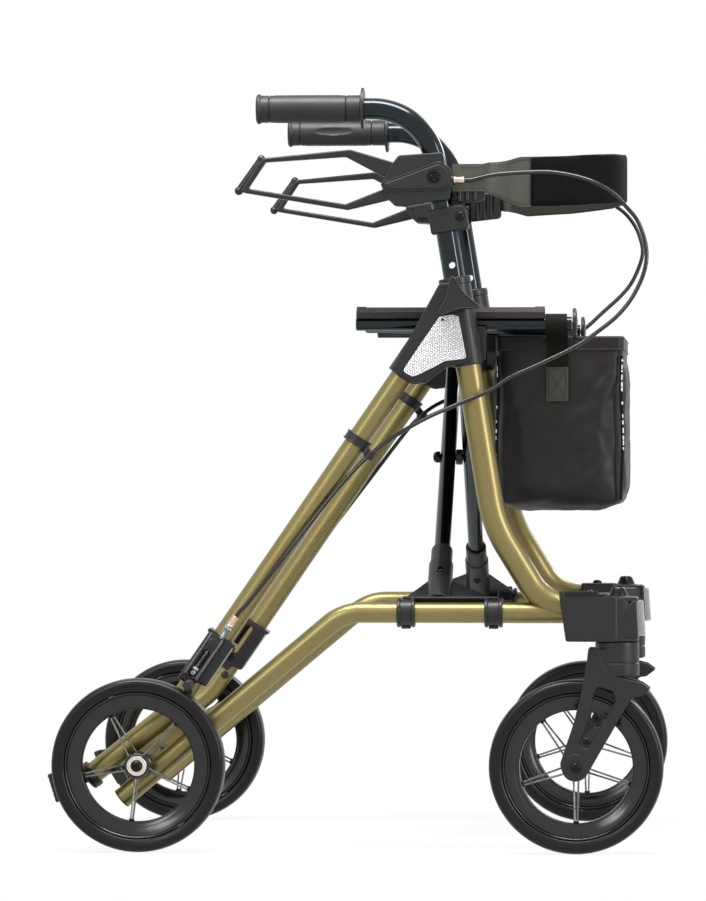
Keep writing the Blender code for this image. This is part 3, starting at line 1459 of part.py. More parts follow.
SIDE_PARTS = (
    rear_wheel,
    front_wheel,
    caster_fork,
    rear_leg,
    lower_tube,
    front_tube,
    top_casting,
    side_reflector,
    clamp_knob,
    front_casting,
    tip_pedal,
    handle_tube,
    grip,
    brake_housing,
    brake_lever,
    backrest_bracket,
    brake_sleeve,
    brake_shoe,
    brake_cable,
    cable_clip,
    seat_rail,
    brace_tube,
    brace_foot,
)

for side, name in SIDES:
    for make in SIDE_PARTS:
        make(side, name)
brace_pivot()
seat()
backrest()
bag()
cane_cup()
cane_clip()
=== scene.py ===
"""Looks for a folding four-wheeled rollator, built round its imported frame.

Shapes are drawn in millimetres on the left side, with +X forward, +Y left and +Z up.
The right side's are turned over, and every finished piece is scaled to metres.
"""
import math
import random

import bmesh
import bpy
from mathutils import Matrix, Vector, noise


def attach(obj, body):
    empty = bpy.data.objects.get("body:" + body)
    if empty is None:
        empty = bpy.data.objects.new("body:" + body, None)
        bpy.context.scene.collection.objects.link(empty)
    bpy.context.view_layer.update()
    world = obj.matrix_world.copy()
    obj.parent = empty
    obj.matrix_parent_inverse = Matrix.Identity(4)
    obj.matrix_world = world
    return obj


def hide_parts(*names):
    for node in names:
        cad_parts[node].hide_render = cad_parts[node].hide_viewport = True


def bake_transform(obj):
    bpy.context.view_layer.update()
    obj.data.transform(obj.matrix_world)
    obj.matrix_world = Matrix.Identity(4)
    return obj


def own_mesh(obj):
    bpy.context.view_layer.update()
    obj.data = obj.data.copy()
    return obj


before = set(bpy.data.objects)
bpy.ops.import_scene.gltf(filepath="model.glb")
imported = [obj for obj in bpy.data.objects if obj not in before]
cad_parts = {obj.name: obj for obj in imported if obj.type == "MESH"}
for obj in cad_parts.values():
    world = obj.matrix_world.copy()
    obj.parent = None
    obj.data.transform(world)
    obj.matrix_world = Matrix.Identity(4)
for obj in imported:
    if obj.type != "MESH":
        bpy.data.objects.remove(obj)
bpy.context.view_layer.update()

MM = 0.001
SIDES = ("left", "right")

# Places shared with the frame, in millimetres
FRAME_Y = 235
WHEEL_Y = 276
AXLE_Z = 100
REAR_HUB = Vector((-248, AXLE_Z))
FRONT_HUB_X = 255
SWIVEL_X = 302
LOWER_TUBE_Z = 274.6
THIN_TUBE = 12
LEG_TUBE = 12.5
POST_TUBE = 15
HANDLE_TUBE = 12.5
HANDLE_Z = 856
RAIL_Y = 203
RAIL_Z = 608.5
LEVER_Y = 251.5
POST_LEAN = math.radians(9.27)
BOLT = Vector((117.7, 635.1))
POST_UP = Vector((-math.sin(POST_LEAN), math.cos(POST_LEAN)))
POST_ACROSS = Vector((POST_UP.y, -POST_UP.x))
LEG_TOP = BOLT + Vector((-45.5, -58.8))
LEG_BEND = REAR_HUB + Vector((36.5, 61.9))
LEG_END = REAR_HUB + Vector((-59, -13.8))
LEG_UP = (LEG_TOP - LEG_BEND).normalized()
LEG_ACROSS = Vector((LEG_UP.y, -LEG_UP.x))
LOWER_END = REAR_HUB + Vector((-23.2, -40.9))
LOWER_BEND = Vector((-14.4, LOWER_TUBE_Z))
LOWER_UP = (LOWER_BEND - LOWER_END).normalized()
LEVER_PIVOT = Vector((89.5, 775.8))
ARM_X = {"left": 122, "right": 95}
ARM_TUBE = 9.25
ARM_ANGLE = math.atan2(RAIL_Z - LOWER_TUBE_Z, FRAME_Y + RAIL_Y)
PIVOT_Z = LOWER_TUBE_Z + FRAME_Y * math.tan(ARM_ANGLE)


# Materials

LOOKS = {}
SLOTS = {}


def linear(code):
    """An sRGB hex colour as a shader's linear values."""
    parts = [int(code[place : place + 2], 16) / 255 for place in (0, 2, 4)]
    return (*[p / 12.92 if p < 0.04045 else ((p + 0.055) / 1.055) ** 2.4 for p in parts], 1)


def socket(sockets, name):
    return next(s for s in sockets if name in (s.identifier, s.name) or name.replace("_", " ") == s.name)


def add(tree, kind, *links, **settings):
    """Adds a node: lower-case settings are its properties, the others its sockets."""
    made = tree.nodes.new("ShaderNode" + kind)
    for name, value in settings.items():
        if name.islower():
            setattr(made, name, value)
        else:
            socket(made.inputs, name).default_value = value
    for name, source, output in links:
        tree.links.new(socket(source.outputs, output), socket(made.inputs, name))
    return made


def maths(tree, operation, *terms):
    """A sum of numbers and of (node, output) pairs, as a pair of its own."""
    made = add(tree, "Math", operation=operation)
    for term, into in zip(terms, made.inputs):
        if isinstance(term, tuple):
            tree.links.new(socket(term[0].outputs, term[1]), into)
        else:
            into.default_value = term
    return made, "Value"


def finish(name, slot, light, dark, rough, mottle, grain, depth, pattern=None, specular=0.5, **shader_values):
    """A material with a mottled colour and roughness and a fine raised grain.

    mottle and grain are the sizes of the two patterns and depth is the grain's height, in
    millimetres. pattern makes a coarser height of its own, with its depth, and darkens the colour
    where that height is low as painted shade, and lightens it a little on the crests.
    """
    material = bpy.data.materials.new(name)
    material.use_nodes = True
    tree = material.node_tree
    shader = tree.nodes["Principled BSDF"]
    place = add(tree, "TexCoord")
    cloud = add(tree, "TexNoise", ("Vector", place, "Object"), Scale=1000 / mottle, Detail=4, Roughness=0.6)
    colour = add(tree, "Mix", ("Factor_Float", cloud, "Fac"), data_type="RGBA", A_Color=linear(dark),
        B_Color=linear(light))
    sheen = add(tree, "MapRange", ("Value", cloud, "Fac"), From_Min=0.3, From_Max=0.7, To_Min=rough[0],
        To_Max=rough[1])
    fine = add(tree, "TexNoise", ("Vector", place, "Object"), Scale=1000 / grain, Detail=2)
    bump = add(tree, "Bump", ("Height", fine, "Fac"), Strength=0.6, Distance=depth * MM)
    if pattern is not None:
        height, reach = pattern(tree, place)
        bump = add(tree, "Bump", ("Height", *height), ("Normal", bump, "Normal"), Strength=0.9,
            Distance=reach * MM)
        # Painted shade: the colour darkens where the pattern's height is low and lightens a little on its
        # crests
        shade = add(tree, "MapRange", ("Value", *height), From_Min=0, From_Max=1, To_Min=0.62, To_Max=1.12)
        colour = add(tree, "Mix", ("A_Color", colour, "Result_Color"), ("B_Color", shade, "Result"),
            data_type="RGBA", blend_type="MULTIPLY", Factor_Float=1)
    tree.links.new(socket(colour.outputs, "Result_Color"), shader.inputs["Base Color"])
    tree.links.new(sheen.outputs["Result"], shader.inputs["Roughness"])
    if depth or pattern is not None:
        tree.links.new(bump.outputs["Normal"], shader.inputs["Normal"])
    shader.inputs["Specular IOR Level"].default_value = specular
    for key, value in shader_values.items():
        socket(shader.inputs, key).default_value = value
    LOOKS[name], SLOTS[name] = material, slot


def waves(tree, place, source, axis, pitch, **settings):
    """Bands a pitch apart along an axis, as a (node, output) pair."""
    scale = 1000 / pitch * math.tau / 20
    return add(tree, "TexWave", ("Vector", place, source), bands_direction=axis, Scale=scale,
        **settings), "Fac"


def weave(pitch, depth):
    """Two sets of threads that cross, a pitch apart."""

    def pattern(tree, place):
        threads = [waves(tree, place, "Object", axis, pitch, Distortion=0.6, Detail=1) for axis in "XYZ"]
        crossed = maths(tree, "ADD", maths(tree, "MULTIPLY", threads[0], threads[1]), threads[2])
        return maths(tree, "MULTIPLY", crossed, 0.5), depth

    return pattern


def ribs(pitch, depth):
    """Ribs across a strap, along the piece's UV map, in metres."""
    return lambda tree, place: (waves(tree, place, "UV", "X", pitch, Distortion=0.3), depth)


def prisms(pitch, depth, across=(1, 0, 0)):
    """A honeycomb of small prisms: three sets of waves at 60 degrees, on the plane of across and Z."""

    def pattern(tree, place):
        total = 0
        for turn in (0, 60, 120):
            angle = math.radians(turn)
            run = Vector(across) * math.cos(angle) + Vector((0, 0, math.sin(angle)))
            along = add(tree, "VectorMath", ("Vector", place, "Object"), operation="DOT_PRODUCT",
                Vector_001=run)
            phase = maths(tree, "MULTIPLY", (along, "Value"), math.tau * 1000 / pitch)
            total = maths(tree, "ADD", maths(tree, "COSINE", phase), total)
        level = add(tree, "MapRange", ("Value", *total), From_Min=-1.5, From_Max=1.2, To_Min=0, To_Max=1)
        return (level, "Result"), depth

    return pattern


# Aluminium tube in a metallic powder coat: fine flakes under a thin clear gloss.
finish("champagne_powder_coat", "frame_paint", "857A4D", "7D7247", (0.36, 0.4), 60, 1.2, 0, Metallic=0.86,
    Coat_Weight=0.16, Coat_Roughness=0.14)
# Steel and aluminium tube in gloss black enamel, whose clear top reflects like a mirror; its reflections are
# tinted pale blue, a painted reflection colour standing in for the studio light's colour.
finish("black_gloss_enamel", "black_tube", "050506", "040404", (0.1, 0.16), 30, 1.5, 0.003,
    Specular_Tint=linear("D6EAF4"))
# Glass-filled nylon from a spark-eroded mould: a dry, finely pitted black.
finish("moulded_black_nylon", "black_plastic", "1B191A", "131213", (0.34, 0.44), 18, 0.9, 0.06, specular=0.38)
# The same nylon where it is handled or rubbed, a little smoother.
finish("polished_black_nylon", "black_plastic", "1A181A", "121112", (0.26, 0.36), 22, 1.6, 0.02,
    specular=0.42)
# The same nylon painted light grey: a painted highlight along the rounded edges of the brake carrier's rails.
finish("painted_highlight_nylon", "black_plastic", "6A686A", "4A484A", (0.24, 0.34), 8, 1.2, 0.02)
# Solid polyurethane tyre: a smooth dark skin with dust in it.
finish("polyurethane_tyre", "tyre", "0F0C0B", "0A0807", (0.28, 0.38), 26, 1.1, 0.03, specular=0.25)
# Moulded wheel rim: near-black nylon with a moulding sheen.
finish("moulded_rim_nylon", "black_plastic", "0A0808", "070606", (0.16, 0.24), 20, 1.4, 0.02)
# Thermoplastic rubber grip: soft and dull.
finish("grip_rubber", "rubber", "1E1C1D", "161415", (0.42, 0.52), 14, 0.8, 0.07, specular=0.42)
# Cold-drawn spoke wire, nickel plated.
finish("nickel_wire", "steel", "8C8A88", "4C4B4A", (0.16, 0.26), 6, 0.9, 0.01, Metallic=1)
# Zinc-plated steel nuts.
finish("zinc_plated_steel", "steel", "C3CDD2", "8C959A", (0.22, 0.34), 4, 0.6, 0.015, Metallic=1)
# Blackened steel screws, oiled.
finish("black_oxide_steel", "steel", "242325", "161517", (0.22, 0.32), 5, 0.7, 0.015, Metallic=0.8)
# Ground bearing ring.
finish("ground_bearing_steel", "steel", "EFE8DA", "C8C1B2", (0.2, 0.3), 3, 0.5, 0.01, Metallic=0.85)
# Nickel-flashed brass cable ends.
finish("brass_ferrule", "steel", "EBDCC8", "BF9F86", (0.2, 0.3), 3, 0.6, 0.01, Metallic=0.9)
# Acrylic reflector with moulded corner prisms about 1.9 mm apart, drawn 2.6 mm apart, silvered behind.
finish("prism_reflector", "reflector", "E2E2E4", "C8C8CC", (0.1, 0.18), 6, 0.8, 0.01, prisms(2.6, 0.9),
    Metallic=0.2, Coat_Weight=0.5, Coat_Roughness=0.05)
# The same prisms and reflector on the curved reflectors that face forward, painted darker grey as painted
# shade for faces turned away from the light.
finish("front_prism_reflector", "reflector", "8E8E90", "5E5E60", (0.1, 0.18), 3, 0.8, 0.01,
    prisms(2.6, 0.9, (0.35, 0.94, 0)), Metallic=0.2, Coat_Weight=0.5, Coat_Roughness=0.05)
# Coated polyester oxford cloth, with threads 0.7 mm apart.
finish("oxford_polyester", "fabric", "1D1814", "15110E", (0.42, 0.54), 60, 1, 0.05, weave(0.7, 0.05), 0.28)
# Seat cloth: the same weave with a brown-violet face.
finish("seat_polyester", "fabric", "342D2F", "292324", (0.56, 0.68), 40, 1, 0.05, weave(0.8, 0.08), 0.4)
# Ribbed polyester webbing, olive grey, with ribs about 1.3 mm apart.
finish("olive_webbing", "webbing", "53564E", "45483F", (0.62, 0.76), 16, 0.9, 0.05, ribs(1.3, 0.15), 0.2)
# Black-brown webbing of the bag's hangers.
finish("dark_webbing", "webbing", "16130D", "0F0D09", (0.62, 0.76), 16, 0.9, 0.05, ribs(1.3, 0.15), 0.12)
# Brushed knit over foam: deep black, with a soft nap.
finish("brushed_knit", "fabric", "0E0C0E", "0A090A", (0.75, 0.9), 20, 0.9, 0.1, specular=0.08)
# Lining of the strap: a darker side of the same webbing.
finish("mesh_lining", "fabric", "33352D", "25261F", (0.7, 0.84), 12, 0.9, 0.06, ribs(1.3, 0.15), 0.2)
# Extruded PVC outer of the brake cables.
finish("pvc_cable_jacket", "cable_jacket", "0B0A0B", "070707", (0.12, 0.2), 25, 1.2, 0.01, specular=0.6)
# Bonded sewing thread, a little lighter than the cloth.
finish("bonded_thread", "fabric", "34302C", "211E1B", (0.5, 0.62), 3, 0.4, 0.05, specular=0.4)
# Woven reflective piping: bright beads of glass-coated yarn.
finish("reflective_piping", "fabric", "E4E4E2", "A9A9A6", (0.25, 0.4), 2, 0.6, 0.03)


# Shapes

def rounded(corners, radii, closed=False, step=9):
    """The points of a path whose corners are arcs, with a point for every step in degrees."""
    corners = [Vector(corner) for corner in corners]
    count = len(corners)
    if not hasattr(radii, "__len__"):
        radii = [radii] * count
    points = []
    for index, corner in enumerate(corners):
        if radii[index] == 0 or not closed and index in (0, count - 1):
            points.append(corner)
            continue
        back = (corners[index - 1] - corner).normalized()
        ahead = (corners[(index + 1) % count] - corner).normalized()
        half = back.angle(ahead) / 2
        centre = corner + (back + ahead).normalized() * (radii[index] / math.sin(half))
        first = corner + back * (radii[index] / math.tan(half)) - centre
        last = corner + ahead * (radii[index] / math.tan(half)) - centre
        swing = math.pi - 2 * half
        parts = max(1, math.ceil(swing / math.radians(step)))
        for number in range(parts + 1):
            angle = swing * number / parts
            blend = first * math.sin(swing - angle) + last * math.sin(angle)
            points.append(centre + blend / math.sin(swing))
    return points


def loop_of(corners, radii, step=9):
    """A closed outline with rounded corners."""
    return rounded(corners, radii, True, step)


def in_space(point, y=FRAME_Y):
    return Vector((point[0], y, point[1]))


def on_post(distance):
    return BOLT + POST_UP * distance


def on_leg(distance):
    return LEG_TOP - LEG_UP * distance


def linked(name, data):
    obj = bpy.data.objects.new(name, data)
    bpy.context.scene.collection.objects.link(obj)
    return obj


def mesh_of(name, bm):
    """A mesh of a finished shape."""
    mesh = bpy.data.meshes.new(name)
    bm.to_mesh(mesh)
    bm.free()
    return mesh


def evaluated(obj):
    """The mesh that an object's curve or modifiers make."""
    bpy.context.view_layer.update()
    return bpy.data.meshes.new_from_object(obj.evaluated_get(bpy.context.evaluated_depsgraph_get()))


def placed(bm, shape, matrix):
    """Moves a finished shape by the matrix and adds it to the others."""
    bmesh.ops.transform(shape, matrix=matrix, verts=shape.verts)
    mesh = mesh_of("shape", shape)
    bm.from_mesh(mesh)
    bpy.data.meshes.remove(mesh)


def pointing(axis, origin):
    matrix = Vector(axis).to_track_quat("Z", "Y").to_matrix().to_4x4()
    matrix.translation = Vector(origin)
    return matrix


def spun(shape, profile, closed, angle, steps, **settings):
    """Spins a profile of (radius, height) about Z."""
    verts = [shape.verts.new((point[0], 0, point[1])) for point in profile]
    edges = [shape.edges.new(pair) for pair in zip(verts, verts[1:])]
    if closed:
        edges.append(shape.edges.new((verts[-1], verts[0])))
    bmesh.ops.spin(shape, geom=verts + edges, cent=(0, 0, 0), axis=(0, 0, 1), dvec=(0, 0, 0), angle=angle,
        steps=steps, use_duplicate=False, **settings)


def lathe(bm, profile, origin, axis, steps=64, closed=False):
    """Spins a profile of (radius, distance along the axis) through a full turn."""
    shape = bmesh.new()
    spun(shape, profile, closed, math.tau, steps, use_merge=True)
    bmesh.ops.remove_doubles(shape, verts=shape.verts, dist=0.001)
    placed(bm, shape, pointing(axis, origin))


def rod(bm, radius, start, end, edge=0, steps=32, end_radius=None):
    """A cylinder between two points, whose rims are rounded by edge."""
    start, end = Vector(start), Vector(end)
    length = (end - start).length
    far = radius if end_radius is None else end_radius
    profile = [(0, 0), (radius, 0), (far, length), (0, length)]
    if edge:
        profile = rounded([Vector((r, h)) for r, h in profile], (0, edge, edge, 0), step=22.5)
    lathe(bm, profile, start, end - start, steps)


def swept(bm, matrix, dimensions, lines, closed, **settings):
    """Adds the mesh of a curve with these lines and settings."""
    curve = bpy.data.curves.new("line", "CURVE")
    curve.dimensions = dimensions
    for name, value in settings.items():
        setattr(curve, name, value)
    for line in lines:
        spline = curve.splines.new("POLY")
        spline.points.add(len(line) - 1)
        for spot, point in zip(spline.points, line):
            spot.co = (*point, 0, 1) if len(point) == 2 else (*point, 1)
        spline.use_cyclic_u = closed
    obj = linked("line", curve)
    mesh = evaluated(obj)
    shape = bmesh.new()
    shape.from_mesh(mesh)
    bmesh.ops.remove_doubles(shape, verts=shape.verts, dist=0.0005)
    placed(bm, shape, matrix)
    bpy.data.objects.remove(obj)
    bpy.data.curves.remove(curve)
    bpy.data.meshes.remove(mesh)


def pipe(bm, points, radius, sides=6, closed=False):
    """A round bar along points."""
    swept(bm, Matrix(), "3D", [points], closed, bevel_depth=radius, bevel_resolution=sides,
        use_fill_caps=True)


def plane_of(name, distance):
    """The matrix of a drawing plane: side (x, z), plan (x, y) or cross (y, z)."""
    axes = {"side": ((1, 0, 0), (0, 0, 1)), "plan": ((1, 0, 0), (0, 1, 0)),
        "cross": ((0, 1, 0), (0, 0, 1))}[name]
    across, up = Vector(axes[0]), Vector(axes[1])
    out = across.cross(up)
    matrix = Matrix((across, up, out)).transposed().to_4x4()
    matrix.translation = Vector([abs(part) * distance for part in out])
    return matrix


def plate(bm, loops, low, high, edge=0.8, plane="side", matrix=None):
    """Flat outlines, the first with the others as holes, between two distances, with rounded edges."""
    swept(bm, plane_of(plane, (low + high) / 2) if matrix is None else matrix, "2D", loops, True,
        fill_mode="BOTH", extrude=(high - low) / 2 - edge, bevel_depth=edge, bevel_resolution=2,
        offset=-edge)


def block(bm, low, high, edge=1):
    """A box with rounded edges."""
    low, high = Vector(low), Vector(high)
    shape = bmesh.new()
    place = Matrix.Translation((low + high) / 2) @ Matrix.Diagonal((*(high - low), 1))
    bmesh.ops.create_cube(shape, size=1, matrix=place)
    if edge:
        bmesh.ops.bevel(shape, geom=shape.edges[:], offset=edge, affect="EDGES", segments=3, profile=0.5,
            material=-1, offset_type="OFFSET")
    absorb(bm, shape)


def ball(bm, centre, radius, stretch=(1, 1, 1), steps=24, matrix=None):
    shape = bmesh.new()
    bmesh.ops.create_uvsphere(shape, u_segments=steps, v_segments=steps // 2, radius=radius)
    place = Matrix.Translation(Vector(centre)) if matrix is None else matrix
    placed(bm, shape, place @ Matrix.Diagonal((*stretch, 1)))


def screw(bm, centre, axis, radius, height):
    """A dome-headed socket screw."""
    well, floor = 0.48 * radius, 0.35 * height
    profile = [(0, floor), (well, floor), (well, 0.97 * height), (0.62 * radius, height),
        (0.86 * radius, 0.78 * height)]
    lathe(bm, profile + [(radius, floor), (radius, -1), (0, -1)], centre, axis, 24)


def carved(bm, cutter):
    """The first closed shape cut by the second."""
    objs = []
    for shape in (bm, cutter):
        bmesh.ops.recalc_face_normals(shape, faces=shape.faces)
        objs.append(linked("shape", mesh_of("shape", shape)))
    modifier = objs[0].modifiers.new("cut", "BOOLEAN")
    modifier.object = objs[1]
    modifier.operation = "DIFFERENCE"
    modifier.solver = "EXACT"
    result = bmesh.new()
    result.from_mesh(evaluated(objs[0]))
    for obj in objs:
        bpy.data.objects.remove(obj)
    return result


def absorb(bm, other):
    """Adds another shape's geometry."""
    placed(bm, other, Matrix())


def shape(maker, *values, **settings):
    """A shape of its own, to be cut, joined or finished."""
    bm = bmesh.new()
    maker(bm, *values, **settings)
    return bm


def hollow(points, radius, wall):
    """A tube with a wall along points."""
    points = [Vector(point) for point in points]
    first = points[0] + (points[0] - points[1]).normalized() * 2
    last = points[-1] + (points[-1] - points[-2]).normalized() * 2
    return carved(shape(pipe, points, radius, sides=9), shape(pipe, [first] + points + [last], radius - wall,
        sides=9))


def piece(name, bm, body, look, *nodes, side=1, slot=None, sharp=35, weighted=True):
    """Finishes a piece: turned over for the right side, in metres, riding on its body."""
    bmesh.ops.scale(bm, vec=(MM, side * MM, MM), verts=bm.verts)
    bmesh.ops.recalc_face_normals(bm, faces=bm.faces)
    mesh = mesh_of(name, bm)
    mesh.materials.append(LOOKS[look])
    mesh.shade_smooth()
    mesh.set_sharp_from_angle(angle=math.radians(sharp))
    obj = linked(name, mesh)
    if weighted:
        obj.modifiers.new("even_shading", "WEIGHTED_NORMAL").keep_sharp = True
    if body is not None:
        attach(obj, body)
    if nodes:
        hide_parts(*nodes)
    return obj


def sign(stem):
    return 1 if stem.startswith("left") else -1


def own(stem, part, bm, body, look, *nodes, **settings):
    """A piece of one side, named after it, and in place of nodes of that side."""
    nodes = [f"{stem}_{node}" for node in nodes]
    return piece(f"{stem}_{part}", bm, body, look, *nodes, side=sign(stem), **settings)


def tube(stem, part, bm, body, look, *nodes):
    """A side's smooth tube."""
    return own(stem, part, bm, body, look, *nodes, sharp=60, weighted=False)


def both_ways(half):
    """A closed profile of a half and its mirror image."""
    return list(half) + [(radius, -height) for radius, height in reversed(half) if height]


def hex_nut(bm, centre, axis, radius, height, bore):
    profile = [(bore, 0), (0.88 * radius, 0), (radius, 0.12 * height)]
    profile += [(radius, 0.88 * height), (0.88 * radius, height), (bore, height)]
    lathe(bm, profile, centre, axis, 6, True)


def spring(bm, start, end, radius, wire, turns):
    """A coil spring between two points."""
    start, end = Vector(start), Vector(end)
    turn = pointing(end - start, start)
    length = (end - start).length
    count = turns * 16
    points = []
    for number in range(count + 1):
        angle = math.tau * number / 16
        points.append(turn @ Vector((radius * math.cos(angle), radius * math.sin(angle),
            length * number / count)))
    pipe(bm, points, wire, sides=2)


def frame_of(across, up, out, origin):
    """The matrix of a frame with these axes."""
    matrix = Matrix((across, up, out)).transposed().to_4x4()
    matrix.translation = origin
    return matrix


# Camera, set to the photograph's viewing angle

camera = bpy.data.cameras.new("side_view")
camera.lens = 215.76
camera.sensor_width = 36
camera_stand = linked("side_view", camera)
camera_stand.location = (0.4097, -6.456, 0.4616)
camera_stand.rotation_euler = (math.radians(90), 0, math.radians(3.8))
bpy.context.scene.camera = camera_stand


# Brake cables: a long bow in front, then along the rear leg to the brake

CABLE_RADIUS = 2.5
CABLE_ROUTES = {"right": ((162.7, 253, 778.8), (204.9, 255, 781.3), (233.1, 256, 780.3),
    (268.2, 256.5, 772.2), (294.4, 256.8, 758.2), (313, 257, 740), (326.1, 257, 722.8), (334.8, 257, 694.8),
    (333, 257, 668.5), (320.8, 257, 640.4), (303.3, 256.8, 617.6), (282.2, 256.6, 600.1),
    (253, 256.3, 580.3), (211.1, 256, 560), (177.4, 256, 544.9), (153.8, 256, 529.7), (124, 256, 517.2),
    (74.7, 252, 495.1), (25.2, 243, 463.8), (-17.5, 245, 421.1), (-70, 252, 354), (-120.8, 253, 289.3)),
    "left": ((162.7, 253, 778.8), (204.9, 254.5, 781.3), (233.1, 255, 780), (268.2, 255, 775),
    (296.6, 255, 760.9), (313, 255, 743), (321.2, 255, 724.8), (324, 255, 703.9), (313.7, 255, 675.5),
    (300.4, 255, 656.7), (275.8, 255, 633.9), (245.5, 255, 607.3), (199, 255.5, 579), (153.8, 256, 556),
    (118, 256, 539), (72.8, 248, 520.7), (49.7, 243, 504.8), (30, 243, 484), (-20, 247, 419),
    (-70, 252, 354), (-120.8, 253, 289.3))}
ADJUSTER_END = 371.2
CABLE_Y = 251
FERRULE = Vector((126, LEVER_Y, 772.7))


def smooth_route(points, spacing):
    """Evenly spaced points on the smooth curve through a route's points."""
    ends = [points[0] * 2 - points[1]] + points + [points[-1] * 2 - points[-2]]
    fine = []
    for index in range(1, len(ends) - 2):
        before, start, end, after = ends[index - 1 : index + 3]
        for number in range(8):
            share = number / 8
            bend = (2 * before - 5 * start + 4 * end - after) * share**2
            twist = (3 * start - before - 3 * end + after) * share**3
            fine.append(0.5 * (2 * start + (end - before) * share + bend + twist))
    fine.append(points[-1])
    length = sum((b - a).length for a, b in zip(fine, fine[1:]))
    count = round(length / spacing)
    even = [fine[0]]
    travelled = 0
    for a, b in zip(fine, fine[1:]):
        run = (b - a).length
        while len(even) < count and travelled + run >= len(even) * length / count:
            even.append(a + (b - a) * (len(even) * length / count - travelled) / run)
        travelled += run
    even.append(fine[-1])
    return even, length


def cable_points(name, spacing=6):
    """The route from the ferrule's face to the adjuster's face, square to both."""
    start = FERRULE + Vector((0.5, 0, 0))
    end = in_space(on_leg(ADJUSTER_END - 0.5), CABLE_Y)
    arrive = Vector((LEG_UP.x, 0, LEG_UP.y)) * 7
    middle = [Vector(point) for point in CABLE_ROUTES[name]]
    return smooth_route([start, start + Vector((7, 0, 0))] + middle + [end + arrive, end], spacing)


for name in SIDES:
    side = sign(name)
    points, length = cable_points(name)
    cable = tube(name, "brake_cable_outer", shape(pipe, points, CABLE_RADIUS, sides=3), None,
        "pvc_cable_jacket", "brake_cable")
    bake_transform(cable)
    own(name, "cable_ferrule", shape(lathe, [(0, -2), (4.1, -2), (4.3, -1.4), (4.3, 3.2), (3.7, 3.8),
        (3.7, 8.8), (4.1, 9.4), (4.1, 12.2), (3.4, 13), (0, 13)], FERRULE - Vector((13, 0, 0)), (1, 0, 0),
        32), f"{name}_handle", "brass_ferrule")


# Wheels

TYRE_HALF = ((84.3, 0), (84.3, 14), (85.2, 15.2), (87, 16.2), (90, 17.1), (93.4, 17.5), (96.2, 16.9),
    (98.2, 15), (99.3, 12), (99.75, 9), (99.2, 8.3), (99.2, 7.5), (99.85, 6.9), (100, 3.4), (100, 0))
RIM_HALF = ((84.1, 0), (84.1, 13.6), (83.5, 14.6), (82.4, 14.8), (81.5, 14.2), (80.6, 12.6), (78, 11.9),
    (74, 10.8), (70.5, 9), (67.6, 7.6), (66.6, 7.7), (65.6, 7.3), (64.8, 6.3), (64.6, 4), (64.6, 0))
SPOKE_STARTS = {"rear": 46.9, "front": 54}
HUB_HALVES = {"rear": 22, "front": 18.7}
HEAD_FACES = {"rear": (22.3, 5.7, 55.3), "front": (24.3, 3.7, 24.3)}


def turn_about(centre, degrees):
    """A place in the wheel, from its hub: x is along the spoke, y out of the wheel and z across."""
    spin = Matrix.Rotation(-math.radians(degrees), 4, "Y")
    spin.translation = centre
    return spin


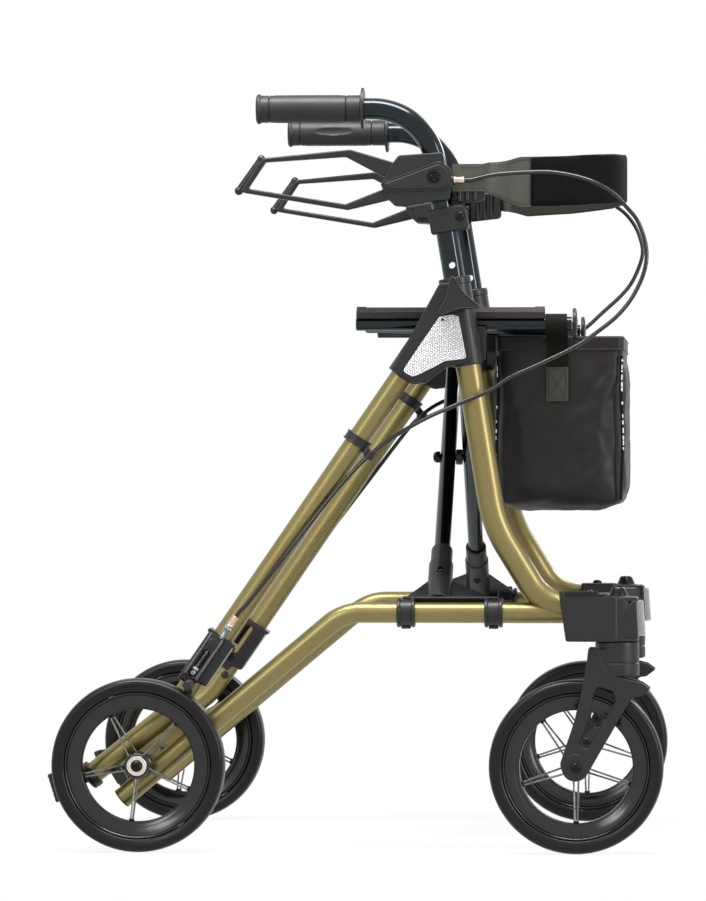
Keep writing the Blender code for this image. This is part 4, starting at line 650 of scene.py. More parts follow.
def wheel(name, place):
    stem = f"{name}_{place}"
    body = f"{stem}_wheel"
    hub = Vector((REAR_HUB.x if place == "rear" else FRONT_HUB_X, WHEEL_Y, AXLE_Z))
    out = (0, 1, 0)
    half = HUB_HALVES[place]
    own(stem, "solid_tyre", shape(lathe, both_ways(TYRE_HALF), hub, out, 120, True), body,
        "polyurethane_tyre", "tyre", sharp=50)

    bm = bmesh.new()
    lathe(bm, both_ways(RIM_HALF), hub, out, 120, True)
    barrel = [(4.2, 0), (10.2, 0), (10.2, half - 12), (11.6, half - 9.5), (14.4, half - 8.2),
        (14.6, half - 7.4)]
    barrel += [(14.6, half - 2.4), (14.1, half - 0.9), (13.2, half - 0.2), (12.2, half - 0.2),
        (11.9, half - 1.2), (4.2, half - 1.2)]
    lathe(bm, both_ways(barrel), hub, out, 64, True)
    for number in range(5):
        spin = turn_about(hub, SPOKE_STARTS[place] + 72 * number)
        for lean in (1, -1):
            foot = spin @ Vector((12.6, lean * (half - 5), lean * 3.2))
            rod(bm, 2.3, spin @ Vector((9.5, lean * (half - 5), lean * 3.2)), foot, 0.5, 12)
    own(stem, "moulded_rim", bm, body, "moulded_rim_nylon", "rim", sharp=40)

    bm = bmesh.new()
    nipples = bmesh.new()
    for number in range(5):
        spin = turn_about(hub, SPOKE_STARTS[place] + 72 * number)
        for lean in (1, -1):
            root = spin @ Vector((11.5, lean * (half - 5), lean * 3.2))
            tip = spin @ Vector((66, lean * 1.6, lean * 1.5))
            rod(bm, 1.15, root, tip, steps=12)
            back = (root - tip).normalized()
            rod(nipples, 1.9, tip - back * 1, tip + back * 3.6, 0.5, 12)
        rod(nipples, 3.1, spin @ Vector((63.2, 0, 0)), spin @ Vector((65.4, 0, 0)), 0.6, 20)
    own(stem, "wire_spokes", bm, body, "nickel_wire", "rim")
    own(stem, "spoke_nipples", nipples, body, "black_oxide_steel", "rim")

    bm = bmesh.new()
    for outward in (1, -1):
        face = hub + Vector((0, outward * (half - 2), 0))
        ring = [(6.6, 0), (11.7, 0), (11.7, 1.2), (11.2, 1.6), (9.9, 1.6), (9.6, 1.1), (8.5, 1.1), (8.2, 1.7),
            (7, 1.7)]
        lathe(bm, ring + [(6.6, 1.4)], face, (0, outward, 0), 48, True)
    own(stem, "bearing_rings", bm, body, "ground_bearing_steel", "rim")

    face, head, nut = HEAD_FACES[place]
    carrier = f"{name}_frame" if place == "rear" else f"{name}_caster"
    bm = bmesh.new()
    profile = [(0, face + head - 2.6), (2.6, face + head - 2.6), (2.6, face + head - 0.1), (3.4, face + head)]
    profile += [(4.9, face + head - 0.5), (5.8, face + head - 1.6), (6, face + 0.2), (4, face), (4, -nut)]
    lathe(bm, profile + [(4, -nut - 7), (3.3, -nut - 7.7), (0, -nut - 7.7)], hub, out, 32)
    hex_nut(bm, hub - Vector((0, nut + 0.2, 0)), (0, -1, 0), 7.4, 5, 3.9)
    own(stem, "axle_bolt", bm, carrier, "black_oxide_steel", "axle")


for name in SIDES:
    wheel(name, "rear")
    wheel(name, "front")


# Caster forks

def span(outward, near, far):
    """Two distances from the wheel's middle, on one side of it, as places from low to high."""
    return sorted((WHEEL_Y + outward * near, WHEEL_Y + outward * far))


def caster_fork(name):
    """A stepped crown over two slotted blades, with a drag spur in front."""
    body = f"{name}_caster"
    swivel = Vector((SWIVEL_X, WHEEL_Y, 0))
    crown = [(0, 236), (12, 236), (12, 243.2), (23.4, 243.2), (24.8, 242.4), (25.2, 241), (25.2, 220.6),
        (24.5, 219.9), (24.5, 219), (25.2, 218.3), (25.4, 206.6), (24.6, 204.6), (22, 203.6), (0, 203.6)]
    bm = bmesh.new()
    lathe(bm, crown, swivel, (0, 0, 1), 64)
    outline = loop_of([(281, 236.2), (269.4, 236.2), (268.2, 226), (265.4, 204), (253.4, 153), (236.8, 103.5),
        (243, 86), (262, 82.6), (272.6, 99.8), (314, 171.5), (320.3, 180.4), (329, 181.5), (340.2, 190),
        (331, 196.8), (318, 200), (303, 204), (291, 210), (285.4, 219)],
        (2, 2, 6, 12, 20, 10, 14.5, 15, 14, 10, 6, 5, 0.8, 3, 6, 8, 8, 8))
    slot = loop_of([(282.6, 191.8), (297.8, 187), (300.6, 176), (272.5, 127), (269.6, 120.6), (258.6, 124),
        (259.6, 131), (278.6, 191)], (2, 4, 5, 8, 5, 5, 6, 3))
    for outward in (1, -1):
        plate(bm, [outline, slot], *span(outward, 19, 24), 1.1)
        web = loop_of([(262, 133), (276.4, 146.6), (290.9, 146.8), (276, 118), (266, 118), (257, 122)], 2)
        plate(bm, [web], *span(outward, 19.4, 22), 0.6)
        hub = Vector((FRONT_HUB_X, WHEEL_Y, AXLE_Z))
        boss = [(4.1, 0), (15.2, 0), (15.5, 0.4), (15.5, 4.6), (14.9, 5.2), (9, 5.2), (8.6, 4.6), (4.1, 4.6)]
        lathe(bm, boss, hub + Vector((0, outward * 19, 0)), (0, outward, 0), 48, True)
        shoulder = loop_of([(270.6, 235.6), (268.8, 208), (304, 208), (298, 235.6)], 2)
        plate(bm, [shoulder], *span(outward, 15, 22.6), 1.5)
    own(name, "caster_fork_moulding", bm, body, "moulded_black_nylon", "caster_fork")

    bm = bmesh.new()
    rod(bm, 6, (SWIVEL_X, WHEEL_Y, 236), (SWIVEL_X, WHEEL_Y, 286.2), 1)
    for outward in (1, -1):
        screw(bm, (267.6, WHEEL_Y + outward * 22, 129.8), (0, outward, 0), 4.4, 1.8)
    own(name, "fork_stem", bm, body, "black_oxide_steel", "caster_fork")


for name in SIDES:
    caster_fork(name)


# Side frames

def plug(bm, end, way, radius):
    """A domed plug pressed into a tube's end, seen from outside."""
    profile = [(0, 2.6), (0.55 * radius, 2.5), (0.86 * radius, 1.9), (radius, 0.8), (radius, 0.1),
        (radius - 2, 0), (radius - 2, -9), (0, -9)]
    lathe(bm, profile, end, way, 32)


def leg_path():
    return rounded([in_space(point) for point in (LEG_TOP, LEG_BEND, LEG_END)], 80, step=4)


def lower_path():
    corners = [in_space(point) for point in (LOWER_END, LOWER_BEND, Vector((SWIVEL_X - 49, LOWER_TUBE_Z)))]
    return rounded(corners, 60, step=4)


def post_path():
    toe = Vector((SWIVEL_X - 84, AXLE_Z + 180.5))
    corners = (on_post(13.1), on_post(-261.9), toe, Vector((SWIVEL_X - 17, toe.y)))
    return rounded([in_space(point) for point in corners], (0, 150, 60, 0), step=3)


for name in SIDES:
    body = f"{name}_frame"
    tube(name, "rear_leg_tube", shape(pipe, leg_path(), LEG_TUBE, sides=9), body, "champagne_powder_coat",
        "rear_leg")

    bm = bmesh.new()
    pipe(bm, lower_path(), THIN_TUBE, sides=9)
    gusset = loop_of([(-246.5, 76.5), (-189, 125), (-187.5, 147.5), (-194, 152), (-240, 128), (-262, 112)],
        (2, 3, 5, 5, 6, 3))
    plate(bm, [gusset, loop_of([(-228.4, 116.8), (-221.6, 112.2), (-219.4, 115.4), (-226.2, 120)], 1.5)],
        FRAME_Y - 3, FRAME_Y + 3, 0.9)
    boss = [(4.2, -14), (10.4, -14), (11, -13.2), (11, 17.4), (10.2, 18.6), (4.2, 18.6)]
    lathe(bm, boss, in_space(REAR_HUB), (0, 1, 0), 40, True)
    turns = [math.tau * number / 36 for number in range(36)]
    rims = [REAR_HUB + Vector((math.cos(turn), math.sin(turn))) * 11.6 for turn in turns]
    weld = [in_space(rim, FRAME_Y + 3.4) for rim in rims]
    pipe(bm, weld, 1.3, sides=2, closed=True)
    away = Vector((-LOWER_UP.y, LOWER_UP.x)) * 11.4
    for offset, low, high in ((4.2, 8, 92), (-3.9, 20, 60)):
        ends = [in_space(LOWER_END + LOWER_UP * along + away, FRAME_Y + offset) for along in (low, high)]
        pipe(bm, ends, 1.5, sides=2)
    tube(name, "lower_side_tube", bm, body, "champagne_powder_coat", "lower_tube")

    bm = hollow(post_path(), POST_TUBE, 1.8)
    tube(name, "front_post", bm, body, "champagne_powder_coat", "front_tube")

    bm = bmesh.new()
    plug(bm, in_space(LOWER_END), in_space(-LOWER_UP, 0), 12.3)
    # The stop under the tube's end, which the wheel's tilt is limited by
    plate(bm, [loop_of([(-283.5, 88), (-272.5, 95), (-264.5, 82), (-275.5, 75)], 2)], FRAME_Y - 7,
        FRAME_Y + 7, 1)
    # Plugs in the leg's spare holes
    spot = Vector((-193.3, 183))
    offset = (spot - LEG_TOP).dot(LEG_ACROSS)
    rise = math.sqrt(max(LEG_TUBE**2 - offset**2, 0))
    button = [(0, 1.4), (3.6, 1.2), (4.8, 0.5), (5.1, -0.6), (3.8, -3), (0, -3)]
    for outward in (1, -1):
        lathe(bm, button, in_space(spot, FRAME_Y + outward * (rise - 0.2)), (0, outward, 0), 32)
    own(name, "frame_plugs", bm, body, "polished_black_nylon")


# Top casting, its reflector and the clamp knob

def split_sleeve(bm, start, end, radius, bore, edge=1):
    """A sleeve round a tube, with rounded rims."""
    start, end = Vector(start), Vector(end)
    length = (end - start).length
    profile = rounded([Vector(p) for p in ((bore, 0), (radius, 0), (radius, length), (bore, length))],
        (0, edge, edge, 0), step=30)
    lathe(bm, [(p.x, p.y) for p in profile], start, end - start, 48, True)


for name in SIDES:
    body = f"{name}_frame"
    bm = bmesh.new()
    split_sleeve(bm, in_space(on_leg(35.5)), in_space(on_leg(-44)), 17.3, 12.6, 1.2)
    lathe(bm, [(0, 0), (17.3, 0), (16.4, 3), (12.6, 5.2), (0, 6)], in_space(on_leg(-43.9)),
        in_space(LEG_UP, 0), 48)
    split_sleeve(bm, in_space(on_post(-76.5)), in_space(on_post(23)), 17.9, 15.1, 1.2)
    split_sleeve(bm, in_space(on_post(17)), in_space(on_post(26)), 18.6, 12.8, 1.4)
    web = loop_of([(98, 650.5), (112, 655.5), (131, 632), (138, 600), (141.5, 564), (120.5, 560.2),
        (104, 557.2), (93, 549.4), (81.5, 539.4), (66, 537.4), (50, 546.5), (41, 556.5)],
        (6, 6, 4, 4, 5, 6, 12, 10, 8, 10, 6, 4))
    plate(bm, [web], 221, 249, 2.2)
    face = loop_of([(97, 653.4), (119, 656), (128.4, 612), (134.6, 565.6), (120, 560.4), (103.6, 557.8),
        (92.6, 549.8), (81.2, 540), (65.6, 539.2), (50, 549.8), (44, 556.6)],
        (5, 4, 3, 5, 6, 12, 10, 8, 10, 5, 4))
    plate(bm, [face], 248, 255, 1.6)
    # The hook that the seat rail drops into
    hook = loop_of([(190, 604.5), (190, 582.6), (204, 566.6), (219.5, 566.6), (219.5, 604.5), (211.6, 604.5),
        (210.8, 602.4), (208, 599.8), (203, 598.4), (198, 599.8), (195.2, 602.4), (194.4, 604.5)],
        (1, 4, 6, 0.5, 0.5, 0.6, 3, 3, 3, 3, 3, 0.6))
    plate(bm, [hook], 133.6, 149, 0.8, plane="cross")
    own(name, "leg_and_post_casting", bm, body, "moulded_black_nylon", "top_casting")

    bm = bmesh.new()
    lens = loop_of([(112.4, 618.1), (119.3, 616.3), (124.2, 591), (128.5, 567.3), (115, 565.6),
        (103.2, 564.1), (91.7, 557.7), (75.5, 549.6), (66.1, 546.2), (54.8, 552.7), (76, 584.4),
        (97.4, 615.2)], (2, 2, 20, 3, 8, 8, 8, 8, 5, 4, 40, 3))
    plate(bm, [lens], 255.3, 257.6, 0.7)
    own(name, "side_prism_reflector", bm, body, "prism_reflector", "side_reflector")
    own(name, "reflector_peg", shape(lathe, [(0, 0.3), (1.3, 0.3), (1.7, 0), (1.7, -0.6), (0, -0.6)],
        Vector((101.4, 257.8, 612)), (0, 1, 0), 20), body, "polished_black_nylon")

    bm = bmesh.new()
    corners, radii = [], []
    for number in range(3):
        tip = number * math.tau / 3 - math.radians(11)
        waist = tip + math.pi / 3
        corners += [BOLT + 32.3 * Vector((math.sin(tip), math.cos(tip))),
            BOLT + 11.8 * Vector((math.sin(waist), math.cos(waist)))]
        radii += [2.8, 30]
    star = loop_of(corners, radii, 6)
    plate(bm, [star], 259.2, 273, 1.3)
    # A fine rib follows the edge of the face
    crest = [BOLT + (point - BOLT) * 0.9 for point in star]
    pipe(bm, [in_space(point, 273) for point in crest], 0.8, sides=2, closed=True)
    lathe(bm, [(0, 0), (11, 0), (11, 4.4), (3.8, 4.4), (3.8, -6), (0, -6)], in_space(BOLT, 255.3), (0, 1, 0),
        32)
    own(name, "star_knob", bm, f"{name}_knob", "moulded_black_nylon", "clamp_knob")


# Front castings

for name in SIDES:
    body = f"{name}_frame"
    swivel = Vector((SWIVEL_X, WHEEL_Y, 0))
    bm = bmesh.new()
    barrel = [(0, 243.6), (23.6, 243.6), (24.6, 244.2), (25, 245.4), (25, 291.2), (24.2, 292.8),
        (22.4, 293.6), (15.4, 293.8), (15, 295), (13.8, 295.6), (11.6, 296), (0, 296)]
    lathe(bm, barrel, swivel, (0, 0, 1), 64)
    socket_plan = loop_of([(249, 216.5), (292, 216.5), (292, 254), (249, 254)], 5)
    plate(bm, [socket_plan], 258.6, 297.5, 1.4, plane="plan")
    web_plan = loop_of([(264, 222.5), (300, 222.5), (325.5, 262), (302, 276), (283, 261), (264, 253.7)],
        (2, 8, 8, 2, 2, 2))
    plate(bm, [web_plan], 247.6, 291.6, 1.2, plane="plan")
    # The raised facet ahead of the cup, and the nose that the reflector sits on
    plate(bm, [loop_of([(303, 250.6), (309.6, 281.6), (320.8, 291), (324.2, 290.6), (326.4, 247.4),
        (306, 246.2)], 1.6)], 276, 299.8, 1.6)
    plate(bm, [loop_of([(286, 289.6), (325.2, 289.6), (325.6, 293), (324, 294.4), (286, 294.6)], 1)], 254,
        299, 0.9)
    own(name, "swivel_casting", bm, body, "moulded_black_nylon", "front_casting")

    bm = bmesh.new()
    section = [(26, 251), (31.6, 250.2), (32.6, 251.4), (30, 288.8), (29.2, 290.4), (24, 290)]
    lens = bmesh.new()
    swing = math.radians(84)
    spun(lens, section, True, swing, 26)
    bmesh.ops.holes_fill(lens, edges=[edge for edge in lens.edges if edge.is_boundary], sides=12)
    placed(bm, lens, Matrix.Translation(swivel) @ Matrix.Rotation(-swing / 2 + math.radians(4), 4, "Z"))
    # Its darker grey is painted shade on the same white prism reflector
    own(name, "front_prism_reflector", bm, body, "front_prism_reflector")

    bm = bmesh.new()
    lathe(bm, [(0, 9.6), (2.4, 9.6), (2.6, 12.6), (6.2, 12.4), (8, 10.6), (9.4, 6.6), (10.6, 4.4), (10.8, 3),
        (0, 3)], swivel + Vector((1.4, 0, 292.8)), (0, 0, 1), 40)
    screw(bm, (268.4, 240, 297.4), (0, 0, 1), 5.6, 3.8)
    own(name, "swivel_screws", bm, body, "black_oxide_steel", "front_casting")


# Tipping pedals at the rear

for name in SIDES:
    down = (LEG_END - LEG_BEND).normalized()
    away = Vector((-down.y, down.x))
    start, end = LEG_END - down * 8, LEG_END + down * 6
    bm = bmesh.new()
    split_sleeve(bm, in_space(LEG_END - down * 5), in_space(LEG_END + down * 3.2), 16.2, 12.8, 1.4)
    lathe(bm, [(0, 4.4), (12, 4.4), (15, 3.6), (16.2, 2), (12.9, 0), (0, 0)], in_space(LEG_END + down * 2.6),
        in_space(down, 0), 40)
    wing = [start - away * 12, end - away * 13, Vector((-351.3, 88.6)), Vector((-345.4, 64)),
        Vector((-336, 71)), end + away * 6, start + away * 8]
    plate(bm, [loop_of(wing, (1.2, 3, 1.5, 1.5, 3, 3, 1.2))], FRAME_Y - 5, FRAME_Y + 5, 1)
    pad = [Vector((-356.8, 87)), Vector((-351, 88.7)), Vector((-342, 56)), Vector((-346.6, 54.2))]
    plate(bm, [loop_of(pad, 1.8)], FRAME_Y - 15, FRAME_Y + 15, 1.2)
    for number in range(6):
        share = (number + 0.5) / 6
        centre = Vector((-356.9, 86.6)).lerp(Vector((-346.9, 54.8)), share)
        pipe(bm, [in_space(centre, FRAME_Y - 12.5), in_space(centre, FRAME_Y + 12.5)], 0.7, sides=2)
    own(name, "tipping_pedal", bm, f"{name}_frame", "moulded_black_nylon", "tip_pedal")


# Handles

def handle_path():
    corner = on_post((HANDLE_Z - BOLT.y) / POST_UP.y)
    corners = (Vector((-110, HANDLE_Z)), corner, on_post(-136.9))
    return rounded([in_space(point) for point in corners], 73, step=3)


for name in SIDES:
    bm = hollow(handle_path(), HANDLE_TUBE, 1.8)
    for number in (-1, 0, 1):
        spot = on_post(40.6 * number)
        bm = carved(bm, shape(rod, 4, in_space(spot, FRAME_Y - 30), in_space(spot, FRAME_Y + 30), steps=24))
    tube(name, "bent_handle_tube", bm, f"{name}_handle", "black_gloss_enamel", "handle_tube")


GRIP_PROFILE = ((0, 0), (12, 0), (14.8, 0.2), (16.6, 1.2), (17.5, 2.8), (17.3, 4.2), (16.3, 5.2), (15.8, 7),
    (15.8, 14.4), (15.2, 14.7), (14.9, 15.4), (15.2, 16.1), (15.8, 16.4), (16, 40), (16, 80), (15.8, 103.4),
    (15.2, 103.7), (14.9, 104.3), (15.2, 104.9), (15.8, 105.2), (15.8, 118.4), (16.3, 120.2), (18.4, 121.2),
    (22.8, 121.5), (24.1, 121.9), (24.5, 123.2), (24.1, 124.6), (23, 125), (12.9, 125), (12.9, 6), (0, 6))

for name in SIDES:
    origin = Vector((-115.4, FRAME_Y, HANDLE_Z))
    bm = shape(lathe, GRIP_PROFILE, origin, (1, 0, 0), 64)
    # The palm hollow on the inboard side, a long leaf
    bm = carved(bm, shape(ball, (-58, FRAME_Y - 20.6, HANDLE_Z + 2), 1, (37, 6.6, 9.5), 48))
    for row, angle in enumerate((62, 76, 90, 104, 118, -62, -76, -90, -104, -118)):
        run = Vector((0, math.cos(math.radians(angle)), math.sin(math.radians(angle))))
        for number in range(17):
            x = -92 + 4.4 * number + (row % 2) * 2.2
            ball(bm, None, 1, (0.9, 1.5, 0.9), 8, pointing(run, Vector((x, FRAME_Y, HANDLE_Z)) + run * 15.6))
    own(name, "moulded_grip", bm, f"{name}_handle", "grip_rubber", "grip", sharp=45)


# Brake housings and levers

def slotted(bm):
    """A housing shell with the lever's slot and its hub's room cut out."""
    bm = carved(bm, shape(block, (9.5, LEVER_Y - 3.3, 725), (80, LEVER_Y + 3.3, 826), 0))
    bm = carved(bm, shape(block, (9.5, LEVER_Y - 6.4, 724), (62, LEVER_Y + 6.4, 827), 0))
    return carved(bm, shape(rod, 11, in_space(LEVER_PIVOT, LEVER_Y - 3.3),
        in_space(LEVER_PIVOT, LEVER_Y + 3.3), steps=40))


for name in SIDES:
    body = f"{name}_handle"
    bm = bmesh.new()
    upper = loop_of([(31.5, 770), (39.8, 786.8), (50.5, 801), (101.5, 804.4), (103.6, 792), (108, 775),
        (100, 760), (36, 760)], (2.5, 3, 6, 3, 3, 3, 3, 3))
    pod = loop_of([(29.7, 768), (34.1, 758.3), (99.3, 759.8), (112.8, 763.4), (110.2, 786.1), (99.3, 793.8),
        (93.6, 793.2)], (1.5, 2, 8, 2.5, 4, 4, 4))
    lower = loop_of([(31.7, 764), (31.9, 756.6), (45, 743.8), (60.1, 742.8), (84.8, 747.1), (109.4, 749.7),
        (111.3, 764)], (2, 3, 3, 6, 6, 3, 2))
    absorb(bm, slotted(shape(plate, [upper], 218.4, 260.4, 1.4)))
    spine = loop_of([(33.5, 767.8), (36, 761.6), (98.6, 762.2), (109.6, 765.8), (107.6, 784), (98.3, 790.4),
        (94, 790)], (1.5, 2, 8, 2.5, 4, 4, 4))
    shell = slotted(shape(plate, [pod], 246, 262, 1.2))
    absorb(bm, carved(shell, shape(rod, 8.8, (91.3, 259.6, 775.5), (91.3, 268, 775.5), steps=48)))
    raised = shape(plate, [spine], 260.4, 263.6, 1.2)
    absorb(bm, carved(raised, shape(rod, 8.8, (91.3, 259, 775.5), (91.3, 268, 775.5), steps=48)))
    absorb(bm, slotted(shape(plate, [lower], 219, 260.4, 1.4)))
    inner = loop_of([(44, 748), (106, 752), (106, 786), (99, 798), (54, 796), (40, 776)], 5)
    plate(bm, [inner], 216.6, 220, 1.2)
    # Seam ridge along the pod and the boss that the ferrule sits in
    pipe(bm, [Vector((32, 261.6, 768.8)), Vector((93.4, 261.6, 791.9)), Vector((98.8, 261.6, 792.3))], 0.9,
        sides=2)
    rod(bm, 6.2, (104, LEVER_Y, FERRULE.z), (114.2, LEVER_Y, FERRULE.z), 1.2, 32, 5.2)
    own(name, "brake_housing_moulding", bm, body, "moulded_black_nylon", "brake_housing")

    bm = bmesh.new()
    screw(bm, (91.3, 259.6, 775.5), (0, 1, 0), 6.2, 2.4)
    rod(bm, 4, (LEVER_PIVOT.x, LEVER_Y - 9, LEVER_PIVOT.y), (LEVER_PIVOT.x, LEVER_Y + 4, LEVER_PIVOT.y), 0.3,
        24)
    screw(bm, (114.6, 247.2, 752.6), (0, 1, 0), 4.3, 2.2)
    screw(bm, (72, 216.8, 774), (0, -1, 0), 4.6, 2)
    own(name, "housing_screws", bm, body, "black_oxide_steel")

    loop = loop_of([(56, 789.8), (-5.2, 808.1), (-106.9, 798.3), (-112, 792), (-133, 760), (-127.2, 758.3),
        (-8.6, 738.3), (52, 752.6), (54, 767), (29.5, 761.2), (-10.9, 745.2), (-123, 763.4), (-103, 793.4),
        (-10.5, 799.4), (31.9, 776.9), (54, 773)], (3, 9, 2, 3, 2, 2, 9, 3, 2, 8, 5, 2, 2, 6, 8, 2))
    bm = bmesh.new()
    plate(bm, [loop], LEVER_Y - 6, LEVER_Y + 6, 1.9)
    tongue = loop_of([(48, 790.5), (78, 783), (78, 768), (48, 754)], 1)
    plate(bm, [tongue], LEVER_Y - 2.7, LEVER_Y + 2.7, 0.8)
    lathe(bm, [(4.1, -2.7), (9.4, -2.7), (9.4, 2.7), (4.1, 2.7)], in_space(LEVER_PIVOT, LEVER_Y), (0, 1, 0),
        40, True)
    top, tip = Vector((-108.3, LEVER_Y, 797.2)), Vector((-134.3, LEVER_Y, 760.9))
    rod(bm, 4.3, top, tip, steps=28)
    for end in (top, tip):
        ball(bm, end, 5, steps=24)
    own(name, "brake_lever_moulding", bm, f"{name}_lever", "polished_black_nylon", "brake_lever")

    # Fluted arm that carries the backrest strap
    bm = bmesh.new()
    arm = loop_of([(110.5, 745), (149.4, 749.5), (149.4, 777), (146, 780.4), (110.5, 781.2)], (1, 5, 4, 3, 1))
    plate(bm, [arm], 236, 246, 1.4)
    for x in (120, 128.7, 137.4):
        for y in (236.4, 245.6):
            rod(bm, 3.1, (x, y, 746.8 + (x - 112) * 0.1), (x, y, 779.6), 1.4, 20)
    own(name, "backrest_arm", bm, body, "moulded_black_nylon", "backrest_bracket")


# Clamp over the cane cup, on the right handle tube

low, high = on_post(79), on_post(107)
bm = bmesh.new()
clamp = loop_of([low - POST_ACROSS * 17.5, low + POST_ACROSS * 26.5, high + POST_ACROSS * 26.5,
    high - POST_ACROSS * 17.5], (2, 3, 9, 3))
bore = shape(pipe, [in_space(on_post(60)), in_space(on_post(125))], HANDLE_TUBE + 0.2, sides=9)
absorb(bm, carved(shape(plate, [clamp], 218.5, 252, 1.4), bore))
piece("right_cane_clamp", bm, "right_handle", "moulded_black_nylon", "cane_clip", side=-1)
piece("right_cane_clamp_screw", shape(screw, (120.7, 252, 731), (0, 1, 0), 5.4, 2.2), "right_handle",
    "black_oxide_steel", side=-1)

# Cane cup on the right front casting

bm = bmesh.new()


def cup_loop(z, inset):
    """The cup's plan at a height: its rear face leans forward towards the floor."""
    back = 235.3 + (301 - z) / 55 * 8 + inset
    front = 304.6 - inset
    corners = [(back, 263 + inset), (front, 263 + inset), (front, 304 - inset), (back, 304 - inset)]
    return loop_of(corners, max(6 - inset, 1), 15)


rings = []
for z, inset in ((243.6, 2.4), (243.9, 1), (245.4, 0), (258, 0), (285, 0), (299, 0), (300.2, 0.5),
        (300.6, 1.3), (300.2, 2.1), (299, 2.6), (285, 2.6), (260, 2.6), (247, 2.8), (246.4, 4)):
    rings.append([bm.verts.new((x, y, z)) for x, y in cup_loop(z, inset)])
edges = []
for ring in rings:
    edges.append([bm.edges.new(pair) for pair in zip(ring, ring[1:] + ring[:1])])
for first, second in zip(edges, edges[1:]):
    bmesh.ops.bridge_loops(bm, edges=first + second)
bmesh.ops.contextual_create(bm, geom=edges[0])
bmesh.ops.contextual_create(bm, geom=edges[-1])
bmesh.ops.recalc_face_normals(bm, faces=bm.faces)
slope = shape(plate, [[(250, 303.6), (250, 320), (320, 320), (320, 291.6)]], 200, 330, 0.01, plane="cross")
bm = carved(bm, slope)
bm = carved(bm, shape(rod, 25.2, (SWIVEL_X, WHEEL_Y, 230), (SWIVEL_X, WHEEL_Y, 320), steps=64))
piece("cane_cup_moulding", bm, "right_frame", "moulded_black_nylon", "cane_cup", side=-1)


# Brakes on the rear legs

SHOE_ANGLE = math.radians(58)
SHOE = REAR_HUB + 108.7 * Vector((math.cos(SHOE_ANGLE), math.sin(SHOE_ANGLE)))
# The pull runs inside the carrier's slot, behind the leg's axis
PULL_ACROSS = -4.6
PULL_Y = 253.4


def leg_frame(distance, across, y):
    """A point by its distance down the leg, ahead of its axis and from the middle."""
    return in_space(on_leg(distance) + LEG_ACROSS * across, y)


def leg_outline(points):
    """Outline points in the side plane, by distance down the leg and ahead of its axis."""
    return [on_leg(distance) + LEG_ACROSS * across for distance, across in points]


def slot_outline(start, end, half):
    run = (end - start).normalized()
    wide = Vector((-run.y, run.x)) * half
    start, end = start + run * half, end - run * half
    corners = [start - run * half + wide, end + run * half + wide, end + run * half - wide,
        start - run * half - wide]
    return loop_of(corners, half * 0.96, 15)


